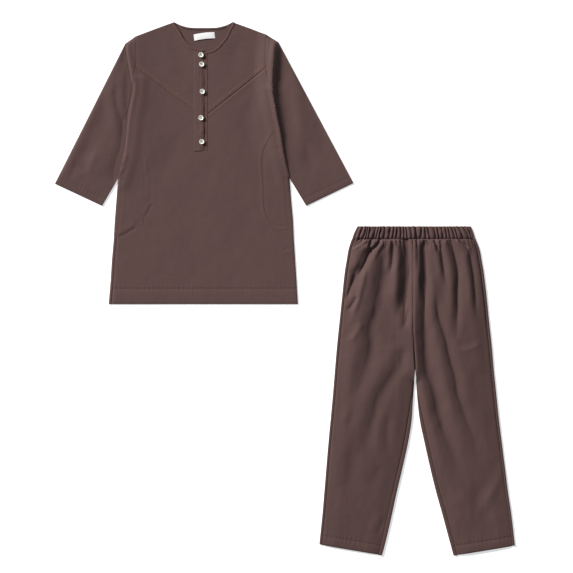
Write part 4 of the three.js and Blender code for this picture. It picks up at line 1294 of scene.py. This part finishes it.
# Trousers
legSide = {
    "y": [0, 37, 92, 146, 201, 255, 310, 364, 419, 473, 527, 582, 636, 664, 691, 716],
    "left": [
        -216.5, -212.9, -207.3, -202.7, -198.2, -193.6, -188.4, -183.4,
        -178.9, -174.3, -168.7, -163, -157.3, -152.8, -148.2, -140.2,
    ],
    "right": [
        230.5, 225.9, 219.5, 211.6, 204.8, 197.9, 191.1, 185.5,
        179.8, 175.2, 169.4, 163.9, 157.5, 152.8, 147.8, 138.2,
    ],
}
inseam = {
    "y": [0, 37, 92, 146, 201, 255, 304, 350, 391],
    "left": [-72.6, -62.8, -50.2, -38.5, -25.5, -13.7, -5.8, -2.7, 0.4],
    "right": [88.7, 78.6, 63.8, 48.7, 35.3, 23.2, 12.8, 7.4, 4.7],
}
frontSeam = {"y": [418, 490, 509, 716], "x": [2.4, -1.6, -3.2, -3.2]}
legHem = {"left": [(-214.2, 24.7), (-72.3, 0.6)], "right": [(227.4, 22.2), (88.6, -0.2)]}
crotchY, bandBottom, bandTop = 418, 715.3, 743
lap = {"side": 6.0, "inseam": 9.0}
legHemDepth = 23.0

legFolds = [
    fold(
        [(-27, 718), (-23, 690), (-21.5, 655), (-21, 623), (-25, 585), (-29, 545), (-33, 515)],
        half=9, drop=3.7, dip=4, crease=2.2, start=0.02, end=0.35,
    ),
    fold([(-18, 566), (-21, 547), (-25, 528), (-31, 506)], half=5.5, drop=1.3, crease=0.3),
    fold([(-21, 714), (-19, 696), (-16, 676), (-15, 655)], half=2.6, drop=1.6, start=0.05, end=0.5),
    fold([(4, 718), (5.5, 690), (6.5, 660), (8, 636)], half=4.2, drop=1, dip=1.8, crease=0.4, start=0.02, end=0.5),
    fold(
        [(15, 716), (18, 696), (19, 646), (19, 600), (18, 555), (17, 500)],
        half=8, drop=3.4, dip=2.2, crease=2.6, start=0.08, end=0.55,
    ),
    fold([(15, 704), (17.5, 670), (18, 630), (17, 585)], half=4.5, drop=1.6, dip=1.2, start=0.15, end=0.35),
    fold(
        [
            (17, 600), (17, 560), (17, 520), (16, 482), (22, 428),
            (34, 378), (49, 324), (63, 270), (80, 215), (100, 150),
        ],
        half=13, drop=4, dip=1.2, start=0.2, end=0.45,
    ),
    fold([(-26, 480), (-38, 440), (-46, 400)], half=11, drop=1.6, end=0.5),
    fold(
        [(-103, 700), (-108, 684), (-115, 664), (-124, 644), (-134, 628)],
        half=6.5, drop=3.4, crease=1.2, start=0.1, end=0.35,
    ),
    fold(
        [(-114, 698), (-121, 676), (-131, 652), (-140, 628), (-149, 598)],
        half=10, drop=2.8, dip=1.6, start=0.15, end=0.3,
    ),
    fold([(-134, 640), (-143, 618), (-151, 596), (-157, 576)], half=4.5, drop=1.4, crease=0.6, start=0.2, end=0.3),
    fold([(-108, 676), (-112, 640), (-120, 600), (-131, 560), (-146, 512)], half=5.5, dip=-2, start=0.25),
    fold(
        [
            (-78, 705), (-77, 665), (-78, 640), (-86, 600), (-96, 560), (-107, 515),
            (-107, 466), (-117, 434), (-127, 399), (-149, 368), (-168, 345),
        ],
        half=13, drop=2.9, dip=0.6, start=0.12, end=0.45,
    ),
    fold([(-133, 590), (-140, 574), (-148, 562), (-157, 554)], half=4.5, drop=1.3, crease=0.4, start=0.2, end=0.3),
    fold([(-148, 606), (-152, 590), (-158, 578)], half=3, drop=0.8, start=0.2, end=0.3),
    fold([(-122, 532), (-136, 504), (-156, 480)], half=6, drop=-0.8, start=0.2),
    fold([(-140, 330), (-150, 306), (-160, 290)], half=7, drop=0.5),
    fold([(-97, 717), (-99, 706), (-103, 692)], half=3, drop=1.6, dip=3, crease=1, start=0.05, end=0.2),
    fold(
        [(-76, 716), (-83, 704), (-93, 693), (-105, 688)],
        half=3, drop=1.8, dip=3, crease=1, start=0.05, end=0.15,
    ),
    fold([(-110, 714), (-120, 705), (-132, 698), (-144, 691)], half=2.8, drop=-1.8, dip=1.4, start=0.1, end=0.25),
    fold([(-112, 718), (-124, 712), (-138, 700)], half=2.4, drop=-1, dip=0.8, start=0.1, end=0.25),
    fold([(-70, 709), (-77, 696), (-86, 682), (-95, 660)], half=4.5, dip=-1.5, start=0.2),
    fold(
        [(-50, 716), (-51, 692), (-52, 665), (-58, 628)],
        half=4.6, drop=2.4, dip=1.6, crease=0.5, start=0.05,
    ),
    fold([(-39, 690), (-40, 650), (-48, 600), (-61, 532)], half=8, dip=-1.6),
    fold([(-66, 714), (-66, 700), (-70, 684)], half=3.4, drop=1.6, start=0.05, end=0.5),
    fold([(-44, 716), (-40, 704), (-38, 696)], half=2.4, drop=1.8, crease=0.5, start=0.02, end=0.5),
    fold([(32, 716), (33, 702), (36, 690)], half=2.4, dip=1.8, start=0.02, end=0.5),
    fold([(41, 716), (46, 702), (53, 684)], half=3, drop=2.4, crease=0.6, start=0.02),
    fold([(58, 716), (61, 704), (63, 692)], half=2.4, drop=1.6, start=0.02, end=0.5),
    fold([(52, 714), (58, 682), (64, 640), (72, 596)], half=5, drop=2, crease=0.5, start=0.1, end=0.5),
    fold(
        [(74, 718), (80, 700), (86, 680), (90, 655), (93, 620), (93, 580), (91, 530), (87, 476)],
        half=7, drop=2.7, dip=1, crease=0.8, start=0.05, end=0.45,
    ),
    fold(
        [(99, 716), (104, 708), (112, 700.5), (122, 691)],
        half=2.3, drop=1.8, dip=2.4, crease=0.9, start=0.1,
    ),
    fold(
        [(120, 696), (123, 668), (127, 640), (132, 605), (136, 560), (138, 520)],
        half=5.5, drop=1.9, crease=0.6, start=0.15, end=0.45,
    ),
    fold(
        [
            (39, 606), (43, 577), (51, 535), (62, 490), (73, 445),
            (86, 396), (96, 346), (108, 308), (128, 256), (147, 175),
        ],
        half=8, drop=2.5, crease=0.5, start=0.15, end=0.5, widen=0.5,
    ),
    fold(
        [(-45, 450), (-62, 405), (-86, 362), (-103, 310), (-120, 262), (-132, 215)],
        half=12, drop=1.7, start=0.2, end=0.45,
    ),
    fold([(-64, 340), (-67, 290), (-64, 240), (-57, 200)], half=10, drop=1),
    fold([(-78, 216), (-97, 182), (-114, 150)], half=12, drop=0.5, end=0.5),
    fold([(198, 222), (184, 180), (160, 133), (128, 85)], half=10, drop=-0.9, start=0.2),
    fold([(-62, 98), (-77, 69), (-89, 44)], half=6, drop=0.5, end=0.3),
    fold([(30, 640), (34, 600), (36, 560)], half=8, drop=-1),
    fold([(152, 486), (120, 472), (88, 476)], half=6, drop=-0.5),
    fold([(-60, 600), (-72, 540), (-78, 480)], half=14, drop=1.2),
    fold([(120, 430), (134, 380), (150, 320)], half=16, drop=1.1),
    fold([(-150, 260), (-158, 200), (-162, 140)], half=16, drop=1),
    fold([(120, 160), (140, 110), (158, 60)], half=15, drop=1.1),
]

# Gathers: their crests across the band, each with its own width and lean
gatherSpec = {"count": 31, "lean": 0.42, "height": 4.1, "unevenness": 0.5, "left": -140, "width": 278}


def gatherEdges():
    rng = np.random.default_rng(11)
    widths = 1 + gatherSpec["unevenness"] * rng.uniform(-1, 1, gatherSpec["count"])
    edges = np.concatenate([[0], np.cumsum(widths)])
    return gatherSpec["left"] + gatherSpec["width"] * edges / edges[-1]


gatherAt = gatherEdges()


def gatherPhase(x, y):
    lean = gatherSpec["lean"] * (x / 138 + 0.35 * latticeNoise(x / 16, x * 0 + 4, 92)) * (y - bandBottom)
    bent = x + lean + 0.9 * latticeNoise(x / 9, y / 13, 91)
    return np.interp(bent, gatherAt, np.arange(len(gatherAt)))


def gatherWave(x, y):
    phase = gatherPhase(x, y)
    number = np.floor(phase)
    own = np.sin(number * 12.9898 + 4.1) * 43758.5453
    strength = 0.6 + 0.4 * (own - np.floor(own))
    own = 1 + 0.4 * latticeNoise(number * 1.7 + 0.5, y / 11, 95)
    return strength * own * np.abs(np.sin(math.pi * phase)) ** 0.75


def smoothTable(table):
    lines = {}
    for key in signOf:
        line = curve(np.column_stack([table[key], table["y"]]), 4)
        lines[key] = line[np.argsort(line[:, 1])]
    return lines


legSideLine, inseamLine = smoothTable(legSide), smoothTable(inseam)


def along(lines, side, y):
    return np.interp(y, lines[side][:, 1], lines[side][:, 0])


def lapWidth(kind, y):
    y = np.asarray(y, float)
    width = lap[kind] + 0.7 * latticeNoise(y / 47, y * 0 + 2, 19 if kind == "side" else 23)
    return width if kind == "side" else width * (1 - 0.85 * smoothStep(y, 290, 385))


def seamOfInseam(side):
    sign = signOf[side]
    ys = np.arange(-10, 392, 10.0)
    return np.column_stack([along(inseamLine, side, ys) + sign * lapWidth("inseam", ys), ys])


inseamSeam = {side: seamOfInseam(side) for side in legHem}


def hemY(side, x):
    (ax, ay), (bx, by) = legHem[side]
    return ay + (x - ax) * (by - ay) / (bx - ax)


def hemStitch(side, inset):
    (ax, ay), (bx, by) = legHem[side]
    slope = (by - ay) / (bx - ax)
    up = legHemDepth * math.hypot(1, slope)
    outer = along(legSideLine, side, np.array([ay + up]))[0]
    inner = along(inseamLine, side, np.array([by + up]))[0]
    first, last = sorted([outer, inner])
    return straight([(x, hemY(side, x) + up) for x in (first + inset, last - inset)], 4)


hemRows = {side: hemStitch(side, 0.8) for side in legHem}


legSpec = {
    "base": 3.9,
    "lowest": 1.6,
    "loft": 4.2,
    "folds": 1.25,
    "gathers": {"height": 2.9, "reach": 17, "spread": 13},
    "underBand": {"depth": 1.9, "width": 2.2, "base": 2.6, "slope": 1.5, "bend": 0.02},
    "seam": {"depth": 0.7, "more": 0.9, "width": 1.5},
    "rightSeam": {"depth": 2.0, "width": 2.2},
    "centreSeam": {"depth": 1.2, "more": 2.2, "width": 1.5, "ridge": 0.5, "ridgeAt": 4.5, "ridgeWidth": 3},
    "hem": {"rise": 0.4, "reach": 12, "groove": 0.5, "edge": 1.9, "edgeWidth": 1.3},
    "waves": [(0.55, 42, 95, 3)],
    "smallWaves": [(0.10, 12, 17, 71)],
    "puckers": {"reach": 12, "pitch": 9.5, "height": 0.2},
}


def legTop(side):
    sign, spec = signOf[side], legSpec

    def top(x, y):
        fromSide = np.abs(x - along(legSideLine, side, y)) - lapWidth("side", y)
        fromInseam = nearLine(inseamSeam[side], x, y)[0]
        fromCentre = np.hypot(x - np.interp(y, frontSeam["y"], frontSeam["x"]), np.maximum(crotchY - y, 0))
        edge = np.minimum(fromSide, fromInseam)
        loft = smoothStep(edge, -4, 34) * (0.55 + 0.45 * smoothStep(y, 40, 480))
        taper = smoothStep(edge, -3, 16)
        height = spec["base"] + spec["loft"] * loft
        height = height + spec["folds"] * foldRelief(legFolds, x, y) * (0.25 + 0.75 * taper)
        height = height + waves(spec["waves"], x, y, sign) * taper + waves(spec["smallWaves"], x, y, sign)
        # gathers run on from the band and die out downwards
        down, gathers, under = bandBottom - y, spec["gathers"], spec["underBand"]
        own = latticeNoise(gatherPhase(x, y * 0 + bandBottom) * 0.9, y * 0 + 7, 33)
        reach = gathers["reach"] + gathers["spread"] * own
        height = height + gathers["height"] * (gatherWave(x, y) - 0.5) * bell(down, reach)
        height = height - under["depth"] * fall(down, under["width"])
        sunk = under["base"] + np.maximum(down, 0) * under["slope"] + under["bend"] * down**2
        height = np.minimum(height, sunk)
        # seams: side, inseam and centre front
        seam, right, centre = spec["seam"], spec["rightSeam"], spec["centreSeam"]
        height = height - (seam["depth"] + seam["more"] * smoothStep(y, 60, 330)) * fall(edge, seam["width"])
        if side == "right":
            height = height - right["depth"] * smoothStep(y, 470, 590) * fall(fromSide, right["width"])
        slit = centre["depth"] + centre["more"] * smoothStep(-y, -505, -440)
        height = height - slit * bell(fromCentre, centre["width"])
        height = height + centre["ridge"] * bell(fromCentre - centre["ridgeAt"], centre["ridgeWidth"]) * (y > 500)
        height = height + puckers(hemRows[side], x, y, **spec["puckers"], seed=14 + sign)
        depth, hem = y - hemY(side, x), spec["hem"]
        height = height + hem["rise"] * (1 - smoothStep(depth, legHemDepth - hem["reach"], legHemDepth))
        height = height - hem["groove"] * hemGroove(depth - legHemDepth + 0.3)
        height = height - hem["edge"] * fall(depth, hem["edgeWidth"])
        return np.maximum(height, spec["lowest"])

    return top


def centreLine(side, away, top):
    sign = signOf[side]
    ys = np.array([top, 600, 509, 490, 455, 425])
    return [(np.interp(y, frontSeam["y"], frontSeam["x"]) + sign * away, y) for y in ys]


# Points along an edge of a leg, moved in by an amount, as far as the hem
def legEdge(lines, side, ys, inset, margin):
    points = [(along(lines, side, np.array([y]))[0] + (inset(y) if callable(inset) else inset), y) for y in ys]
    return [p for p in points if p[1] > hemY(side, p[0]) + margin]


underBand = 717.5


def makeLegFront(side):
    sign, hemOuter = signOf[side], legHem[side][0]
    sideYs = np.arange(math.ceil(hemOuter[1]) + 2, 714, 5.0)
    outer = legEdge(legSideLine, side, sideYs, lambda y: -sign * (lapWidth("side", y) + 0.2), 0.6)
    inner = legEdge(inseamLine, side, np.arange(4, 392, 5.0), lambda y: sign * (lapWidth("inseam", y) + 0.2), 0.6)
    cornerOut = (outer[0][0] - 0.3 * sign, hemY(side, outer[0][0]))
    cornerIn = (inner[0][0], hemY(side, inner[0][0]))
    topOut = (along(legSideLine, side, np.array([715.0]))[0] - sign * lapWidth("side", 715.0), underBand)
    outline = [cornerIn] + inner + centreLine(side, 0.15, underBand)[::-1] + [topOut] + outer[::-1] + [cornerOut]
    bandSeam = straight([(-140, 705), (140, 705)], 30)
    piece = clothPanel(
        "legFront" + side.capitalize(), outline, legTop(side), trousersAt, shadedTrouserPoplin,
        step=2.1, fineLines=[bandSeam, hemRows[side]], fineStep=1.6, fineReach=15,
    )
    finishPiece(piece, "leg_front_" + side)
    hem = sew("legHemStitch" + side.capitalize(), [(hemRows[side], legTop(side))], trousersAt, shadedBrownThread, 0.32)


# Edges of the backs, rolled over to the front up to the seam
def rolledGrid(lines, side, inward, kind, ys):
    rows = []
    for y in ys:
        x = along(lines, side, np.array([y]))[0]
        width = float(lapWidth(kind, y))
        # the edges on the picture's right stand up more and turn from the light
        radius = (1.9 if inward < 0 else 1.4) + 0.2 * float(latticeNoise(np.array([y / 23.0]), np.array([1.0]), 8)[0])
        radius = min(radius, 0.8 * width)
        row = [(x + inward * 8, y, 0.02)]
        for degrees in (-90, -68, -45, -22, 0, 22, 45, 68, 90):
            a = math.radians(degrees)
            row.append((x + inward * (radius - radius * math.cos(a)), y, radius + radius * math.sin(a)))
        for share in (0.35, 0.6, 0.8, 0.93, 1.0):
            at = radius + (width - radius) * share
            crown = 0.15 * math.sin(math.pi * share) - 0.5 * max(0, share - 0.8) * 4
            row.append((x + inward * at, y, 2 * radius + crown))
        rows.append(row)
    return np.array(rows)


def makeLegBack(side):
    inward = -signOf[side]
    hemOuter, hemInner = legHem[side]
    sideYs = np.concatenate([[hemOuter[1] + 0.5], np.arange(math.ceil(hemOuter[1]) + 4, 713, 6.0), [715]])
    inYs = np.concatenate([[hemInner[1] + 0.3], np.arange(math.ceil(hemInner[1]) + 5, 390, 6.0), [391, 405]])
    pieces = []
    for table, ys, way, kind in ((legSideLine, sideYs, inward, "side"), (inseamLine, inYs, -inward, "inseam")):
        grid = rolledGrid(table, side, way, kind, ys)
        if way < 0:
            grid = grid[:, ::-1]
        inner = grid - gridNormals(grid, False) * shellThickness
        name = "legBack" + side.capitalize() + ("SideRoll" if kind == "side" else "InseamRoll")
        piece = clothGrid(name, grid, inner, trousersAt, shadedTrouserPoplin)
        pieces.append(piece)
    inset = inward * 1.8
    outer = legEdge(legSideLine, side, np.arange(math.ceil(hemOuter[1]) + 6, 712, 8.0), inset, 1)
    inner = legEdge(inseamLine, side, np.arange(8, 386, 8.0), -inset, 1)
    corner = [(hemInner[0] - inset, hemInner[1] + 0.4)]
    outerCorner = [(hemOuter[0] + inset, hemOuter[1] + 0.1)]
    topOut = [(along(legSideLine, side, np.array([715.0]))[0] + inset, 715.0)]
    outline = corner + inner + centreLine(side, 0.15, 715.0)[::-1] + topOut + outer[::-1] + outerCorner
    flat = clothPanel(
        "legBack" + side.capitalize(), outline, lambda x, y: np.full(x.shape, shellThickness),
        trousersAt, shadedTrouserPoplin, step=8,
    )
    bpy.ops.object.select_all(action="DESELECT")
    for other in [*pieces, flat]:
        other.select_set(True)
    bpy.context.view_layer.objects.active = flat
    bpy.ops.object.join()
    finishPiece(flat, "leg_back_" + side)


for side in signOf:
    makeLegBack(side)
    makeLegFront(side)
print("legs laid")

# The waistband: a flattened ring over elastic, gathered all along
bandSpec = {
    "bottom": (-139.8, 137.6),  # its left and right ends
    "top": (-128.0, 128.0),
    "taper": 1.3,
    "levels": 25,
    "columns": 560,
    "radius": 2.3,
    "base": 3.4,
    "lowest": 2.4,
    "edgeDrop": {"bottom": 1.1, "top": 1.2, "width": 1.5},
    "topRow": {"depth": 0.7, "below": 4.2, "width": 1.1},
    "bulge": 1.3,
}


def bandRow(level, columns):
    spec = bandSpec
    tall, radius, drop, row = bandTop - bandBottom, spec["radius"], spec["edgeDrop"], spec["topRow"]
    y = bandBottom + tall * level
    left, right = (low + (high - low) * level ** spec["taper"] for low, high in zip(spec["bottom"], spec["top"]))

    def bend(middle, degrees):
        angles = [math.radians(d) for d in degrees]
        return [(middle + radius * math.cos(a), y, radius + radius * math.sin(a)) for a in angles]

    x = np.linspace(right - radius, left + radius, columns)
    ys = np.full(columns, y)
    wave = gatherWave(x, ys)
    ends = smoothStep(np.minimum(x - left, right - x), 2, 9)
    edge = 0.45 + 0.55 * smoothStep(min(level, 1 - level), 0.0, 0.16)
    z = spec["base"] + gatherSpec["height"] * 1.25 * wave * ends * (0.6 + 0.4 * edge)
    z = z - drop["bottom"] * math.exp(-level * tall / drop["width"])
    z = z - drop["top"] * math.exp(-(1 - level) * tall / drop["width"])
    z = z - row["depth"] * bell(bandTop - row["below"] - y, row["width"])
    z = np.maximum(z, spec["lowest"])
    z = z * ends + 2 * radius * (1 - ends)
    bulge = spec["bulge"] * (wave - 0.5) * smoothStep(level, 0.8, 1) * ends
    under = [(at, y, 0.02) for at in np.linspace(left + radius, right - radius, 40)]
    over = list(zip(x, ys + bulge, z))
    return under + bend(right - radius, (-60, -30, 0, 30, 60)) + over + bend(left + radius, (120, 150, 180, 210, 240))


def makeBand():
    columns = bandSpec["columns"]
    rows = [bandRow(level, columns) for level in np.linspace(0, 1, bandSpec["levels"])]
    outer = np.array(rows)
    inner = outer - gridNormals(outer, True) * shellThickness
    piece = clothGrid("waistband", outer, inner, trousersAt, shadedTrouserPoplin, closed=True)
    finishPiece(piece, "waistband")


makeBand()
print("waistband gathered")


# Table and light
def makeTable():
    bpy.ops.mesh.primitive_grid_add(x_subdivisions=2, y_subdivisions=2, size=12, location=(0, 0, -0.0004))
    table = bpy.context.active_object
    table.name = "table"
    material, tree, shader = newMaterial("paleTable", Roughness=0.9, IOR=1.45)
    shader.inputs["Base Color"].default_value = toLinear("#F4F4F2")
    shader.inputs["Emission Color"].default_value = (1, 1, 1, 1)
    shader.inputs["Emission Strength"].default_value = 0.5
    table.data.materials.append(material)


def makeLights():
    key = bpy.data.lights.new("key", "SUN")
    key.energy = 6.0
    key.angle = math.radians(16)
    key.color = (1.0, 0.96, 0.92)
    keyObject = bpy.data.objects.new("key", key)
    keyObject.rotation_euler = Vector((1.0, -0.8, -0.64)).to_track_quat("-Z", "Y").to_euler()
    bpy.context.scene.collection.objects.link(keyObject)
    world = bpy.data.worlds.new("studio")
    world.use_nodes = True
    world.node_tree.nodes["Background"].inputs["Color"].default_value = (0.86, 0.94, 1.0, 1)
    world.node_tree.nodes["Background"].inputs["Strength"].default_value = 0.25
    bpy.context.scene.world = world
    # the plain transform keeps the table white and the cloth's own colour, as a catalogue photograph does
    bpy.context.scene.view_settings.view_transform = "Standard"


makeTable()
makeLights()
print("table and lights set")
